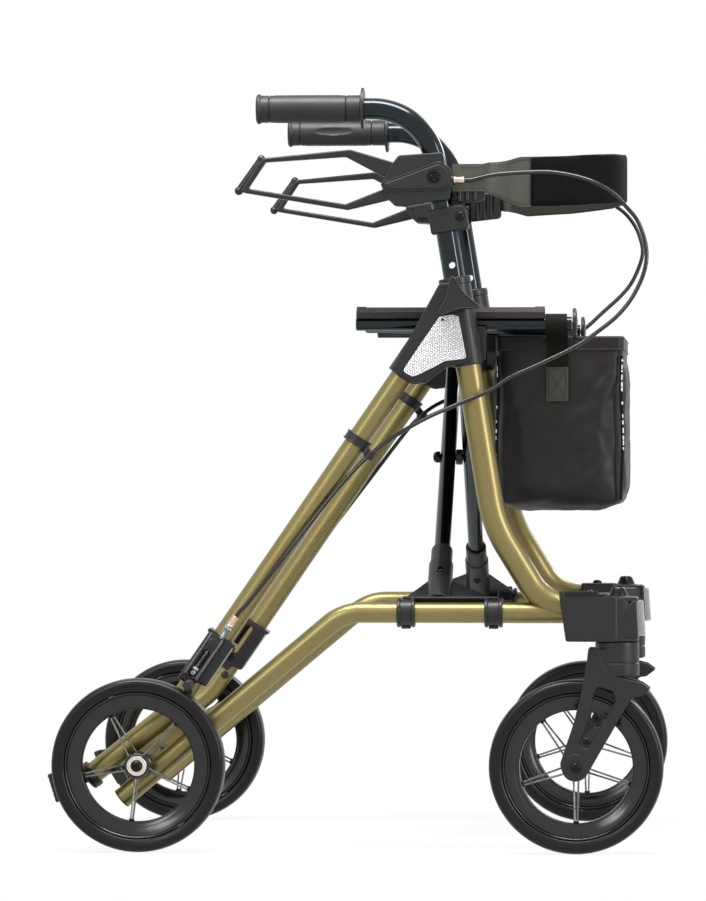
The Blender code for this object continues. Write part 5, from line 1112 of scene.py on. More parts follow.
for name in SIDES:
    body = f"{name}_frame"
    down = in_space(-LEG_UP, 0)
    reach = (LEG_TOP - SHOE).dot(LEG_UP)
    offset = (SHOE - LEG_TOP).dot(LEG_ACROSS)
    outline = loop_of(leg_outline([(401, -16.5), (401, 16.5), (458.6, 16.5), (460, 5), (468, 3),
        (468, -16.5)]), 3)
    bm = bmesh.new()
    bore = [in_space(on_leg(390)), in_space(on_leg(480))]
    # The frame side is open along the leg; the outboard face holds the shoe's pull
    window = slot_outline(leg_frame(405.5, -4.4, 0).xz, leg_frame(445, -4.4, 0).xz, 4.8)
    carrier = carved(shape(plate, [outline], 217.6, 249, 2.4), shape(pipe, bore, LEG_TUBE + 0.2, sides=9))
    absorb(bm, carved(carrier, shape(plate, [window], 212, 228, 0)))
    face = loop_of(leg_outline([(401.6, -15.5), (401.6, 5.4), (458.8, 5.4), (458.8, -15.5)]), (5, 4, 2, 2))
    channel = slot_outline(leg_frame(421.5, PULL_ACROSS, 0).xz, leg_frame(458, PULL_ACROSS, 0).xz, 4.6)
    absorb(bm, shape(plate, [face, channel], 248.6, 256.5, 0.9))
    # Rails along the carrier's face, in a light grey that is a painted highlight on their rounded edges
    rails = bmesh.new()
    for across in (-12.4, 2.9):
        rail = loop_of(leg_outline([(402.4, across - 1.1), (402.4, across + 1.1), (458.2, across + 1.1),
            (458.2, across - 1.1)]), 0.9)
        plate(rails, [rail], 255.4, 257.4, 0.7)
    lathe(bm, [(0, 1.6), (5.2, 1.5), (6.2, 0.8), (6.5, -1), (0, -1)], leg_frame(411.5, PULL_ACROSS, 256.3),
        (0, 1, 0), 36)
    flange = loop_of(leg_outline([(399.4, -18.6), (399.4, 18.6), (404, 18.6), (404, -18.6)]), 1.6)
    absorb(bm, carved(shape(plate, [flange], 218.2, 249, 1.4), shape(pipe, bore, LEG_TUBE + 0.2, sides=9)))
    own(name, "brake_carrier", bm, body, "polished_black_nylon", "brake_sleeve")
    # The rails' light grey is a painted highlight, not the nylon's own colour
    own(name, "brake_carrier_rails", rails, body, "painted_highlight_nylon")

    bm = bmesh.new()
    spring(bm, leg_frame(423, PULL_ACROSS, PULL_Y), leg_frame(446, PULL_ACROSS, PULL_Y), 2.6, 0.55, 12)
    rod(bm, 1, leg_frame(420, -4.4, PULL_Y), leg_frame(455, PULL_ACROSS, PULL_Y), steps=10)
    own(name, "brake_spring", bm, body, "nickel_wire")
    bm = bmesh.new()
    hex_nut(bm, leg_frame(445, PULL_ACROSS, 253.6), down, 3.8, 3.6, 1)
    screw(bm, leg_frame(452.6, PULL_ACROSS, 252.6), (0, 1, 0), 3.6, 2.4)
    own(name, "brake_pull_nut", bm, body, "zinc_plated_steel")

    own(name, "brake_carrier_screw", shape(screw, leg_frame(450.8, PULL_ACROSS, 218.4), (0, -1, 0), 6.6, 2.8),
        body, "black_oxide_steel")

    # Cable adjuster: a ribbed sleeve, a lock nut and a threaded stud
    bm = bmesh.new()
    ribs_profile = [(0, 0), (3.9, 0)]
    for number in range(5):
        base = 0.4 + number * 2.4
        ribs_profile += [(4.3, base), (4.3, base + 1.4), (3.5, base + 1.7), (3.5, base + 2.2)]
    ribs_profile += [(3.9, 12.8), (2.9, 13.8), (0, 13.8)]
    lathe(bm, ribs_profile, leg_frame(ADJUSTER_END, 0, CABLE_Y), down, 24)
    own(name, "cable_adjuster", bm, body, "brass_ferrule", "brake_sleeve")
    bm = bmesh.new()
    start = leg_frame(ADJUSTER_END + 14, 0, CABLE_Y)
    hex_nut(bm, start, down, 5.4, 4, 2.7)
    thread = [(0, 0)]
    for number in range(15):
        thread += [(3.5, number * 1.1 + 0.2), (2.9, number * 1.1 + 0.7)]
    lathe(bm, thread + [(2.9, 17), (0, 17)], start + down * 0.2, down, 20)
    own(name, "adjuster_nut", bm, body, "zinc_plated_steel")

    # Shoe: a ribbed rubber bar over the tyre and the tongue that pulls it
    bm = bmesh.new()
    rod(bm, 5.3, in_space(SHOE, 255.5), in_space(SHOE, 292), 1, 32)
    for number in range(6):
        y = 261 + number * 5.2
        lathe(bm, [(4.8, -0.9), (5.5, -0.5), (5.5, 0.5), (4.8, 0.9)], in_space(SHOE, y), (0, 1, 0), 32, True)
    lathe(bm, [(0, 0), (3.6, 0), (4.4, 0.8), (5.4, 0.9), (5.5, 3.6), (0, 3.6)], in_space(SHOE, 249.6),
        (0, 1, 0), 32)
    own(name, "brake_shoe_bar", bm, f"{name}_shoe", "grip_rubber", "brake_shoe")
    bm = bmesh.new()
    tongue = loop_of(leg_outline([(reach - 40, offset - 4), (reach - 40, offset + 4), (reach + 3, offset + 4),
        (reach + 3, offset - 4)]), 2.5)
    plate(bm, [tongue], 249.2, 251.4, 0.6)
    own(name, "brake_pull_tongue", bm, f"{name}_shoe", "black_oxide_steel", "brake_shoe")

    # Band and eye that hold the cable on the leg
    place = 125 if name == "right" else 64
    middle = in_space(on_leg(place))
    points = cable_points(name, 2)[0]
    nearest = min(points, key=lambda point: (point - middle).length)
    along = Vector((LEG_UP.x, 0, LEG_UP.y))
    bm = bmesh.new()
    split_sleeve(bm, middle - along * 5.2, middle + along * 5.2, 15.4, 12.6, 1)
    split_sleeve(bm, middle - along * 5.6, middle - along * 3.6, 16.2, 12.7, 0.8)
    split_sleeve(bm, middle + along * 3.6, middle + along * 5.6, 16.2, 12.7, 0.8)
    split_sleeve(bm, nearest - along * 5.2, nearest + along * 5.2, 5.4, 2.7, 0.9)
    run = nearest - middle
    turn = frame_of(run.normalized(), along.cross(run.normalized()), along, middle)
    bridge = loop_of([(14, -3.6), (run.length - 2.9, -3.6), (run.length - 2.9, 3.6), (14, 3.6)], 0.5)
    plate(bm, [bridge], -4.6, 4.6, 0.8, matrix=turn)
    own(name, "cable_clamp_band", bm, body, "moulded_black_nylon", "cable_clip")


# Scissor brace, its feet and the seat rails

def arm_point(name, reach):
    """A point on the arm from a side's foot, by its distance from the lower tube's axis."""
    run = Vector((0, -math.cos(ARM_ANGLE), math.sin(ARM_ANGLE)))
    return Vector((ARM_X[name], FRAME_Y, LOWER_TUBE_Z)) + run * reach


ARM_LENGTH = (FRAME_Y + RAIL_Y) / math.cos(ARM_ANGLE)

for name in SIDES:
    body = "front_brace" if name == "left" else "rear_brace"
    socket_x = ARM_X[name]
    middle = (ARM_X["left"] + ARM_X["right"]) / 2
    tube(name, "brace_arm", shape(pipe, [arm_point(name, 41), arm_point(name, ARM_LENGTH - 7.6)], ARM_TUBE,
        sides=9), body, "black_gloss_enamel", "brace_tube")

    bm = bmesh.new()
    axis = Vector((0, FRAME_Y, LOWER_TUBE_Z))
    for start in (middle - 61, middle + 40):
        end = start + 21
        split_sleeve(bm, axis + Vector((start + 2.2, 0, 0)), axis + Vector((end - 2.2, 0, 0)), 15.4, 12.2,
            0.8)
        for edge in (start, end - 4.4):
            split_sleeve(bm, axis + Vector((edge, 0, 0)), axis + Vector((edge + 4.4, 0, 0)), 17, 12.2, 1.4)
        block(bm, (start + 5, FRAME_Y - 3.5, LOWER_TUBE_Z - 18.6),
            (end - 5, FRAME_Y + 3.5, LOWER_TUBE_Z - 14.8), 1)
    run = (arm_point(name, 1) - arm_point(name, 0)).normalized()
    ahead = Vector((1, 0, 0))
    base = frame_of(ahead, run, ahead.cross(run), axis)
    web = loop_of([(middle - 57, 14.2), (middle + 57, 14.2), (middle + 57, 20), (socket_x + 14, 56),
        (socket_x - 14, 56), (middle - 57, 20)], (1, 1, 3, 2, 2, 3))
    plate(bm, [web], -2.4, 2.4, 1, matrix=base)
    floor = loop_of([(middle - 55, 13.4), (middle + 55, 13.4), (middle + 55, 17.4), (middle - 55, 17.4)], 1.2)
    plate(bm, [floor], -11, 11, 1.2, matrix=base)
    for x in (middle - 38, middle + 38):
        rib = loop_of([(-9, 16), (9, 16), (2.2, 30), (-2.2, 30)], 1.5)
        turned = frame_of(ahead.cross(run), run, -ahead, axis + Vector((x, 0, 0)))
        plate(bm, [rib], -1.4, 1.4, 0.8, matrix=turned)
    split_sleeve(bm, arm_point(name, 17), arm_point(name, 88), 14.2, 9.5, 1.4)
    split_sleeve(bm, arm_point(name, 84), arm_point(name, 115), 12.5, 9.5, 1.4)
    own(name, "brace_foot_moulding", bm, body, "moulded_black_nylon", "brace_foot")
    bm = bmesh.new()
    facing = Vector((0, math.sin(ARM_ANGLE), math.cos(ARM_ANGLE)))
    screw(bm, arm_point(name, 62) + facing * 14, facing, 4.6, 2)
    screw(bm, arm_point(name, 62) - facing * 14, -facing, 4.6, 2)
    own(name, "brace_foot_screws", bm, body, "black_oxide_steel")

bm = bmesh.new()
centre = (0, 0, PIVOT_Z)
rear, front = ARM_X["right"] - ARM_TUBE - 0.3, ARM_X["left"] + ARM_TUBE + 0.3
bolt = [(0, front + 7.5), (3.4, front + 7.2), (5.8, front + 5.6), (6.6, front + 4.4), (6.6, front + 4),
    (4, front + 4)]
bolt += [(4, rear - 4), (6.6, rear - 4), (6.6, rear - 4.4), (5.8, rear - 6.4), (3.4, rear - 8),
    (0, rear - 8.4)]
lathe(bm, bolt, centre, (1, 0, 0), 36)
hex_nut(bm, Vector((front, 0, PIVOT_Z)), (1, 0, 0), 7.8, 4.6, 4)
hex_nut(bm, Vector((rear, 0, PIVOT_Z)), (-1, 0, 0), 7.8, 4.6, 4)
piece("brace_pivot_bolt", bm, "front_brace", "black_oxide_steel", "brace_pivot")
bm = bmesh.new()
spacer = [(4.2, 0), (8.4, 0), (9.2, 0.8), (9.2, 7), (8.4, 7.8), (4.2, 7.8)]
lathe(bm, spacer, (ARM_X["right"] + ARM_TUBE + 0.35, 0, PIVOT_Z), (1, 0, 0), 40, True)
piece("brace_pivot_spacer", bm, "front_brace", "moulded_black_nylon", "brace_pivot")

for name in SIDES:
    body = "rear_brace" if name == "left" else "front_brace"
    bm = bmesh.new()
    rail = [(0, 0), (6.6, 0), (7.6, 0.5), (8, 1.5), (8, 250.2), (0, 250.2)]
    lathe(bm, rail, (-2, RAIL_Y, RAIL_Z), (1, 0, 0), 40)
    own(name, "seat_rail_tube", bm, body, "black_gloss_enamel", "seat_rail", sharp=60)
    bm = bmesh.new()
    disc = [(0, -0.6), (9.4, -0.6), (17, -0.4), (17.8, 0.4), (17.8, 3.2), (16.8, 4.2), (13.4, 4.4),
        (12.6, 3.6), (8.6, 3.6), (8, 4.6), (5, 5.2), (0, 5.3)]
    lathe(bm, disc, (249.8, RAIL_Y, RAIL_Z), (1, 0, 0), 48)
    own(name, "rail_end_disc", bm, body, "moulded_black_nylon", "seat_rail")


# Soft goods

THREAD = 0.42


def sheet_grid(place, columns, rows, thickness, size):
    """A closed sheet: place gives a point for each share along and across, in millimetres.

    size is the cut's length and width, which its UV map holds in metres.
    """
    shape = bmesh.new()
    shape.loops.layers.uv.new("cloth")
    bmesh.ops.create_grid(shape, x_segments=columns, y_segments=rows, size=0.5, calc_uvs=True)
    layer = shape.loops.layers.uv.active
    for face in shape.faces:
        for loop in face.loops:
            loop[layer].uv = ((loop.vert.co.x + 0.5) * size[0] * MM, (loop.vert.co.y + 0.5) * size[1] * MM)
    for vert in shape.verts:
        vert.co = place(vert.co.x + 0.5, vert.co.y + 0.5)
    shape.normal_update()
    bmesh.ops.solidify(shape, geom=shape.faces[:], thickness=thickness)
    return shape


def swell(bm, cap, pressure, voxel, frames, pinned=None):
    """Cloth filled with air: the shape is remeshed, blown up and held within a cap, then smoothed."""
    bmesh.ops.scale(bm, vec=(MM, MM, MM), verts=bm.verts)
    bmesh.ops.recalc_face_normals(bm, faces=bm.faces)
    obj = linked("soft", mesh_of("soft", bm))
    remesh = obj.modifiers.new("even_faces", "REMESH")
    remesh.mode = "VOXEL"
    remesh.voxel_size = voxel * MM
    even = evaluated(obj)
    obj.modifiers.clear()
    obj.data = even
    start = [vert.co.copy() for vert in even.vertices]
    cloth = obj.modifiers.new("cloth", "CLOTH")
    cloth.settings.quality = 5
    cloth.settings.mass = 0.3
    cloth.settings.tension_stiffness = 15
    cloth.settings.compression_stiffness = 15
    cloth.settings.bending_stiffness = 0.4
    cloth.settings.use_pressure = True
    cloth.settings.uniform_pressure_force = pressure
    cloth.settings.effector_weights.gravity = 0
    cloth.collision_settings.use_collision = False
    cloth.point_cache.frame_start = 1
    cloth.point_cache.frame_end = frames
    if pinned is not None:
        group = obj.vertex_groups.new(name="held")
        group.add([vert.index for vert in even.vertices if pinned(vert.co / MM)], 1, "REPLACE")
        cloth.settings.vertex_group_mass = "held"
    for frame_number in range(1, frames + 1):
        bpy.context.scene.frame_set(frame_number)
    blown = evaluated(obj)
    bpy.context.scene.frame_set(1)
    for vert, old in zip(blown.vertices, start):
        move = vert.co - old
        if move.length > cap * MM:
            vert.co = old + move.normalized() * cap * MM
    obj.modifiers.clear()
    obj.data = blown
    finer = obj.modifiers.new("smooth", "SUBSURF")
    finer.levels = finer.render_levels = 1
    result = bmesh.new()
    result.from_mesh(evaluated(obj))
    bmesh.ops.scale(result, vec=(1 / MM,) * 3, verts=result.verts)
    bpy.data.objects.remove(obj)
    return result


def dented(bm, reach, grain, seed, keep):
    """Shallow folds and dents along the surface's own normals."""
    bm.normal_update()
    for vert in bm.verts:
        share = keep(vert.co)
        if share:
            coarse = noise.noise(vert.co / grain + Vector((seed, 0, 0)))
            push = coarse + 0.5 * noise.noise(vert.co / grain * 2.1 + Vector((0, seed, 0)))
            vert.co += vert.normal * push * reach * share


def stitches(bm, points, long=2.6, gap=1.6):
    """A dashed line of sewing thread along points."""
    even, length = smooth_route([Vector(point) for point in points], 1)
    travelled = 0
    while travelled + long < length:
        first = even[min(int(travelled / length * (len(even) - 1)), len(even) - 2)]
        last = even[min(int((travelled + long) / length * (len(even) - 1)) + 1, len(even) - 1)]
        rod(bm, THREAD, first, last, steps=6)
        travelled += long + gap


# Backrest: a bowed strap of webbing with a pad on its front and a lining behind

STRAP_ROUTE = ((112, 248.4), (130, 248.4), (146.5, 247.6), (153.5, 236), (158, 205), (170, 153), (184, 133),
    (206, 117), (240, 101), (268, 86), (287.5, 60), (297.5, 30), (301, 0))
# Lower and upper edge at each x
STRAP_EDGES = ((112, 759.8, 791.2), (147, 759.8, 791.2), (185, 747, 805.6), (238, 748.8, 808),
    (285, 753, 812), (301, 756.6, 814.2))


def strap_edges(x):
    """The strap's lower and upper edge at an x, straight between the stations: its shoulders stay crisp."""
    for (x0, low0, high0), (x1, low1, high1) in zip(STRAP_EDGES, STRAP_EDGES[1:]):
        if x <= x1:
            part = max(0, (x - x0) / (x1 - x0))
            return low0 + part * (low1 - low0), high0 + part * (high1 - high0)
    return STRAP_EDGES[-1][1:]


def strap_line():
    """The strap's middle line with its half width, evenly spaced from the left end to the right."""
    whole = list(STRAP_ROUTE) + [(x, -y) for x, y in reversed(STRAP_ROUTE[:-1])]
    route, length = smooth_route([Vector((x, y, 0)) for x, y in whole], 3)
    edges = [strap_edges(point.x) for point in route]
    middle = [Vector((point.x, point.y, (low + high) / 2)) for point, (low, high) in zip(route, edges)]
    return middle, [(high - low) / 2 for low, high in edges], length


LINE, LINE_HALF, STRAP_LENGTH = strap_line()


def on_strap(share, across, lift, low_share=0, high_share=1):
    """A point of the strap by its share along and across, lifted off its front."""
    place = (low_share + (high_share - low_share) * share) * (len(LINE) - 1)
    index = min(int(place), len(LINE) - 2)
    part = place - index
    point = LINE[index].lerp(LINE[index + 1], part)
    half = LINE_HALF[index] * (1 - part) + LINE_HALF[index + 1] * part
    run = LINE[min(index + 2, len(LINE) - 1)] - LINE[max(index - 1, 0)]
    out = Vector((-run.y, run.x, 0)).normalized()
    if out.x < 0 and abs(point.y) < 200 or abs(point.y) > 200 and out.y * point.y < 0:
        out = -out
    return point + Vector((0, 0, (2 * across - 1) * half)) + out * lift


def soft_piece(name, bm, look, *nodes, slot=None):
    """A soft piece between the two handles, which draws up towards the left one as they fold."""
    obj = piece(name, bm, "left_handle", look, *nodes, slot=slot, sharp=50, weighted=False)
    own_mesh(obj)
    return obj


def share_at(x):
    """The share along the strap's line where its left half passes an x."""
    half = LINE[: len(LINE) // 2 + 1]
    return min(range(len(half)), key=lambda index: abs(half[index].x - x)) / (len(LINE) - 1)


PAD_LOW = share_at(196.5)
PAD_HIGH = 1 - PAD_LOW
soft_piece("backrest_webbing", sheet_grid(lambda along, across: on_strap(along, across, 0), 190, 8, 2.2,
    (STRAP_LENGTH, 58)), "olive_webbing", "backrest")
pad = sheet_grid(lambda along, across: on_strap(along, 0.005 + 0.99 * across, 2.3, PAD_LOW, PAD_HIGH), 110,
    16, 5.8, (300, 58))
pad = swell(pad, 1, pressure=2, voxel=2.4, frames=12)
pad_obj = soft_piece("backrest_pad", pad, "brushed_knit", "backrest")
LINING_LOW = share_at(165)
LINING_HIGH = 1 - LINING_LOW
soft_piece("backrest_lining", sheet_grid(lambda along, across: on_strap(along, 0.03 + 0.94 * across, -1.2,
    LINING_LOW, LINING_HIGH), 130, 8, 1, (350, 56)), "mesh_lining", "backrest")
bm = bmesh.new()
for across in (0.06, 0.94):
    for low, high in ((share_at(150), share_at(197)), (1 - share_at(197), 1 - share_at(150))):
        stitches(bm, [on_strap(number / 40, across, 2.4, low, high) for number in range(41)])
for low, high in ((0.012, 0.052), (0.948, 0.988)):
    for across in (0.1, 0.9):
        stitches(bm, [on_strap(number / 20, across, 2.4, low, high) for number in range(21)])
soft_piece("backrest_stitching", bm, "bonded_thread", slot="webbing")


# Seat: a sling between two rolls that lie on the rails

SEAT_BACK, SEAT_FRONT = -1, 217
# The free cloth's half width between the rolls
SLING_HALF = 184


def seat_section():
    """The seat's path from the right roll to the left, by (y, z)."""
    left = [(208, 617.7), (211, 618.8), (211.4, 622.4), (209, 625.9), (204.5, 627.4), (199.5, 626.6),
        (195, 624), (190.5, 620.4)]
    sling = []
    for number in range(17):
        y = SLING_HALF * (1 - number / 16)
        sling.append((y, 617.4 - 13 * (1 - (y / 190) ** 2)))
    half = left + sling
    return half + [(-y, z) for y, z in reversed(half[:-1])]


SEAT_LINE, SEAT_WIDTH = smooth_route([Vector((0, y, z)) for y, z in seat_section()], 3)


def on_seat(along, across, lift=0):
    place = across * (len(SEAT_LINE) - 1)
    index = min(int(place), len(SEAT_LINE) - 2)
    point = SEAT_LINE[index].lerp(SEAT_LINE[index + 1], place - index)
    run = SEAT_LINE[min(index + 2, len(SEAT_LINE) - 1)] - SEAT_LINE[max(index - 1, 0)]
    up = Vector((0, run.z, -run.y)).normalized() if run.y < 0 else Vector((0, -run.z, run.y)).normalized()
    x = SEAT_BACK + (SEAT_FRONT - SEAT_BACK) * along
    free = max(0, 1 - (abs(point.y) / 186) ** 4)
    edge = 1 - 0.6 * abs(2 * along - 1) ** 6
    broad = noise.noise(Vector((x / 46, point.y / 60, 3)))
    narrow = noise.noise(Vector((x / 17, point.y / 25, 9)))
    wave = 1.6 * broad + 0.5 * narrow
    return Vector((x, point.y, point.z)) + up * lift + Vector((0, 0, wave * free * edge))


def seat_piece(name, bm, look, *nodes, slot=None):
    obj = piece(name, bm, None, look, *nodes, slot=slot, sharp=50, weighted=False)
    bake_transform(obj)
    return obj


seat_cloth = seat_piece("seat_sling", sheet_grid(lambda along, across: on_seat(along, across, -2.2), 44, 150,
    2.4, (218, SEAT_WIDTH)), "seat_polyester", "seat")
bm = bmesh.new()
for x_share in (0.055, 0.075, 0.925, 0.945):
    stitches(bm, [on_seat(x_share, 0.06 + 0.88 * number / 60, 0.5) for number in range(61)], long=3.4,
        gap=2.2)
for y_share in (0.072, 0.928):
    stitches(bm, [on_seat(number / 30, y_share, 0.5) for number in range(31)])
stitch_obj = seat_piece("seat_stitching", bm, "bonded_thread")
# Turned ends of the rolls, a little thicker than the rest
bm = bmesh.new()
for low in (0, 0.95):
    for across_low in (0, 0.925):
        absorb(bm, sheet_grid(lambda along, across: on_seat(low + 0.05 * along, across_low + 0.075 * across,
            -0.6), 4, 20, 1.7, (11, 36)))
bands_obj = seat_piece("seat_roll_end_bands", bm, "seat_polyester")
# A webbing loop across the middle, which is pulled up to fold the frame
bm = bmesh.new()


def pull_strap(along, across):
    """The loop's webbing runs from back to front and stands a little off the seat."""
    base = on_seat(0.06 + 0.88 * along, 0.5 + (across - 0.5) * 0.056, 0.3)
    rise = 5 * math.sin(math.pi * min(max((along - 0.16) / 0.68, 0), 1)) ** 2
    return base + Vector((0, 0, rise))


loop_obj = seat_piece("seat_pull_strap", sheet_grid(pull_strap, 60, 6, 1.8, (196, 25)), "dark_webbing")
# Padded hems in the rails, one for each
for name in SIDES:
    body = "rear_brace" if name == "left" else "front_brace"
    bm = bmesh.new()
    spacing = (SEAT_FRONT - SEAT_BACK - 2.4) / 8
    filling = [(SEAT_BACK + 1.2 + number * spacing, RAIL_Y, 621.4) for number in range(9)]
    pipe(bm, filling, 4.2, sides=5)
    own(name, "seat_hem_filling", bm, body, "seat_polyester", sharp=50, weighted=False)
    # Keder strip that the rail's groove grips
    own(name, "seat_keder", shape(block, (SEAT_BACK + 0.4, RAIL_Y - 4.5, 613),
        (SEAT_FRONT - 0.4, RAIL_Y + 4.5, 618), 1.2), body, "polished_black_nylon")


# Bag under the seat

BAG_BACK, BAG_FRONT = 158.5, 307
BAG_HALF = 155
BAG_TOP, BAG_LOW = 593, 396


def free_cloth(co):
    """1 where the bag's cloth may crease, 0 along its hem and under the hanger straps."""
    below_hem = min(1, max(0, (BAG_TOP - 18 - co.z) / 26))
    from_strap = max(abs(co.x - 230.2) - 15, 516 - co.z, BAG_HALF - 8 - abs(co.y)) / 14
    return below_hem * min(1, max(0, from_strap))


bm = bmesh.new()
bmesh.ops.create_cube(bm, size=1)
bmesh.ops.subdivide_edges(bm, edges=bm.edges[:], cuts=40, use_grid_fill=True)
size = Vector((BAG_FRONT - BAG_BACK, 2 * BAG_HALF, BAG_TOP - BAG_LOW))
middle = Vector(((BAG_FRONT + BAG_BACK) / 2, 0, (BAG_TOP + BAG_LOW) / 2))
for vert in bm.verts:
    x, y, z = vert.co * 2
    # The upright corners are tight and so is the foot, whose middle sags
    plan = (abs(x) ** 14 + abs(y) ** 24) ** (1 / 14)
    squeeze = min(1, max(abs(x), abs(y)) / plan) if plan > 1e-6 else 1
    foot = max(0, (-z - 0.9) / 0.1)
    inward = 1 - 0.035 * foot**2
    sag = -1.5 * (1 - abs(x) ** 2) * (1 - abs(y) ** 2) if z < -0.99 else 0
    dip = -9 * (1 - abs(x) ** 2) * (1 - abs(y) ** 2) if z > 0.99 else 0
    lift = 5 * (abs(x) ** 8) * (1 if z < -0.99 else max(0, foot))
    across = y * squeeze * (1 - 0.016 * foot**2) * size.y / 2
    vert.co = middle + Vector((x * squeeze * inward * size.x / 2, across,
        z * size.z / 2 + sag + dip + lift * 0.1))
pouch = swell(bm, 3.4, pressure=1.4, voxel=5, frames=20, pinned=lambda co: free_cloth(co) < 0.3)
dented(pouch, 2.4, 58, 4.2, free_cloth)
dented(pouch, 0.9, 19, 1.7, free_cloth)


def hanging(name, bm, look, *nodes, slot=None, side=1, sharp=50):
    """Everything on the bag draws up towards the left rail as the frame folds."""
    obj = piece(name, bm, "bag_hanger", look, *nodes, slot=slot, side=side, sharp=sharp, weighted=False)
    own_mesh(obj)
    return obj


bag_obj = hanging("bag_pouch", pouch, "oxford_polyester", "bag", sharp=70)


def mouth(offset):
    """The corners of the bag's mouth, moved outward."""
    back, front, half = BAG_BACK - offset, BAG_FRONT + offset, BAG_HALF + offset
    return [(back, -half), (front, -half), (front, half), (back, half)]


# Hem round the mouth, with two rows of stitches
hanging("bag_hem", shape(plate, [loop_of(mouth(0.6), 9, 15), loop_of(mouth(-3), 6, 15)], 577.5, 595, 1,
    plane="plan"), "oxford_polyester")
bm = bmesh.new()
seam = rounded(mouth(0.8) + [(BAG_BACK - 0.8, -BAG_HALF)], 9, False, 15)
for z in (579.8, 592.8):
    stitches(bm, [Vector((*point, z)) for point in seam])
hanging("bag_hem_stitching", bm, "bonded_thread")


# Hangers: webbing that goes over the rail and is sewn to the side panels, by (y, z)
HANGER_ROUTE = ((BAG_HALF + 1.9, 520.6), (BAG_HALF + 2, 548), (BAG_HALF + 2.2, 575), (BAG_HALF + 3.2, 590),
    (167, 598), (186, 606), (195.2, 614.2), (203, 618.6), (210.6, 615.4), (213.2, 608.5), (210.2, 600.8),
    (203, 598.4), (194, 600), (178, 594), (BAG_HALF + 5.6, 582), (BAG_HALF + 4.2, 572),
    (BAG_HALF + 3.9, 548), (BAG_HALF + 3.8, 520.6))
HANGER_BACK, HANGER_WIDTH = 217.8, 24.8

for name in SIDES:
    line, length = smooth_route([Vector((0, y, z)) for y, z in HANGER_ROUTE], 3)

    def webbing(along, across):
        place = along * (len(line) - 1)
        index = min(int(place), len(line) - 2)
        point = line[index].lerp(line[index + 1], place - index)
        return point + Vector((HANGER_BACK + HANGER_WIDTH * across, 0, 0))

    side = sign(name)
    strap = sheet_grid(webbing, 90, 4, 1.4, (length, HANGER_WIDTH))
    hanging(f"{name}_bag_hanger_strap", strap, "dark_webbing", "bag", side=side)
    hanging(f"{name}_bag_strap_patch", shape(block, (217.4, BAG_HALF + 4.6, 519), (243, BAG_HALF + 6.4, 559),
        0.8), "olive_webbing", side=side)
    # A sewn box with a cross, by the corners (x, z) that its six seams join
    thread = bmesh.new()
    y = BAG_HALF + 6.6
    corners = ((220.2, 522), (240.2, 522), (240.2, 556), (220.2, 556))
    for start, end in ((0, 1), (1, 2), (2, 3), (3, 0), (0, 2), (3, 1)):
        first, last = Vector(corners[start]), Vector(corners[end])
        seam = [in_space(first, y), in_space((first + last) / 2, y + 0.1), in_space(last, y)]
        stitches(thread, seam, long=2, gap=1.1)
    hanging(f"{name}_bag_strap_stitching", thread, "bonded_thread", slot="webbing", side=side)

# Piping down the upright edges of both side panels, black with reflective yarn that shows in flecks
flecks = random.Random(11)
cord_bm, fleck_bm = bmesh.new(), bmesh.new()
for outward in (1, -1):
    for x, lean, top, low, often in ((BAG_FRONT - 2, 1, 568, 462, 0.75), (BAG_BACK + 2, -1, 560, 420, 0.35)):
        def edge_point(z, off=0):
            return Vector((x + lean * (off + 0.9 * math.sin(z / 23)), outward * (BAG_HALF - 1.6 + off), z))

        pipe(cord_bm, [edge_point(z) for z in range(404, 580, 8)], 1.9, sides=3)
        z = top
        while z > low:
            long = flecks.uniform(2, 6.5)
            if flecks.random() < often:
                rod(fleck_bm, flecks.uniform(0.8, 1.25), edge_point(z, 0.9), edge_point(z - long, 0.9),
                    steps=8)
            z -= long + flecks.uniform(0.8, 4)
hanging("bag_piping", cord_bm, "dark_webbing", slot="fabric")
hanging("bag_piping_flecks", fleck_bm, "reflective_piping")


# Stage

def white_share(tree):
    """1 for the rays that see the white backdrop: the camera's and those by way of metal or glass."""
    rays = add(tree, "LightPath")
    seen = maths(tree, "MAXIMUM", (rays, "Is Camera Ray"), (rays, "Is Glossy Ray"))
    return maths(tree, "MAXIMUM", seen, (rays, "Is Transmission Ray"))


def blended(tree, share, plain, white, output):
    """Joins two shaders by a share into an output socket."""
    mixed = add(tree, "MixShader", ("Fac", *share))
    tree.links.new(plain.outputs[0], mixed.inputs[1])
    tree.links.new(white.outputs[0], mixed.inputs[2])
    tree.links.new(mixed.outputs[0], output)


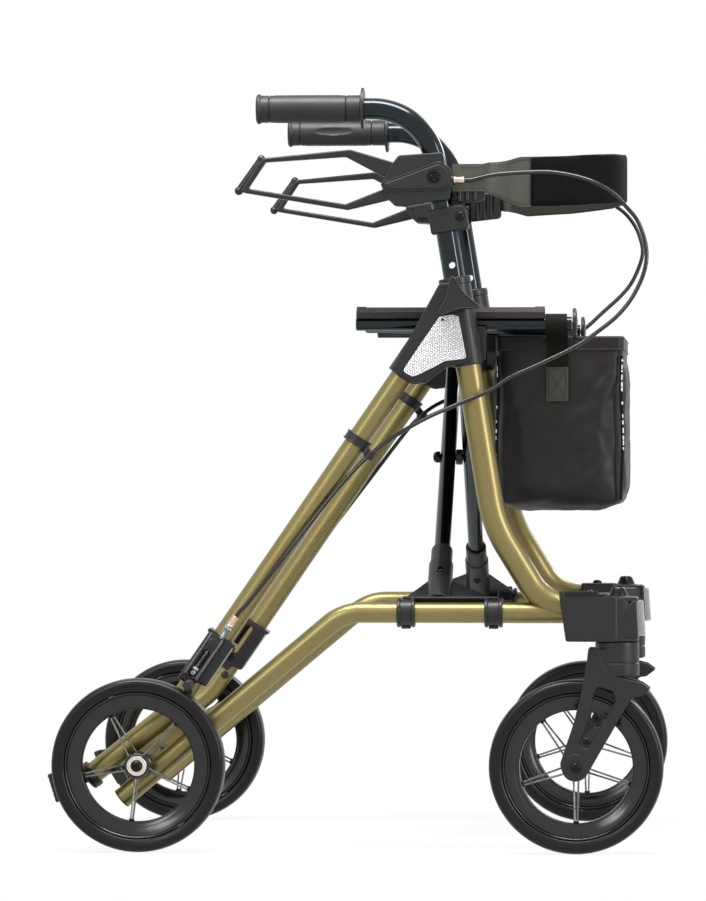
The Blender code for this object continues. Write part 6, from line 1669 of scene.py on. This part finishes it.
# Matt white paper, which keeps the object's shadow
LOOK = bpy.data.materials.new("matt_white_paper")
LOOK.use_nodes = True
tree = LOOK.node_tree
paper = tree.nodes["Principled BSDF"]
paper.inputs["Base Color"].default_value = linear("F4F3F1")
paper.inputs["Roughness"].default_value = 0.9
paper.inputs["Specular IOR Level"].default_value = 0.1
reach = add(tree, "VectorMath", ("Vector", add(tree, "TexCoord"), "Object"), operation="LENGTH")
bright = add(tree, "MapRange", ("Value", reach, "Value"), From_Min=0.35, From_Max=0.95, To_Min=0.9, To_Max=1)
share = maths(tree, "MULTIPLY", white_share(tree), (bright, "Result"))
glow = add(tree, "Emission", Color=(1, 1, 1, 1), Strength=1)
blended(tree, share, paper, glow, tree.nodes["Material Output"].inputs["Surface"])
bpy.ops.mesh.primitive_plane_add(size=40, location=(0, 0, -0.0006))
floor = bpy.context.object
floor.name = "studio_floor"
floor.data.materials.append(LOOK)

world = bpy.data.worlds.new("studio")
bpy.context.scene.world = world
world.use_nodes = True
tree = world.node_tree
tree.nodes.clear()
soft = add(tree, "Background", Color=(0.72, 0.73, 0.75, 1), Strength=0.22)
white = add(tree, "Background", Color=(1, 1, 1, 1), Strength=1)
blended(tree, white_share(tree), soft, white, add(tree, "OutputWorld").inputs["Surface"])


def soft_box(name, place, target, size, power):
    light = bpy.data.lights.new(name, "AREA")
    light.shape = "RECTANGLE"
    light.size, light.size_y = size
    light.energy = power
    obj = linked(name, light)
    obj.location = place
    obj.rotation_euler = (Vector(target) - Vector(place)).to_track_quat("-Z", "Y").to_euler()


soft_box("overhead_box", (-0.1, -0.7, 2.7), (0.05, 0, 0.4), (2.2, 0.8), 125)
soft_box("camera_side_box", (-1.6, -3.2, 2.2), (0, 0, 0.5), (0.9, 1.2), 32)
soft_box("far_side_box", (1.8, 2.8, 2.2), (0, 0, 0.5), (1.2, 1.6), 45)
soft_box("front_strip", (2.6, -1.6, 1.2), (0.2, 0, 0.6), (0.4, 1.8), 40)


bpy.context.scene.view_settings.view_transform = "Standard"
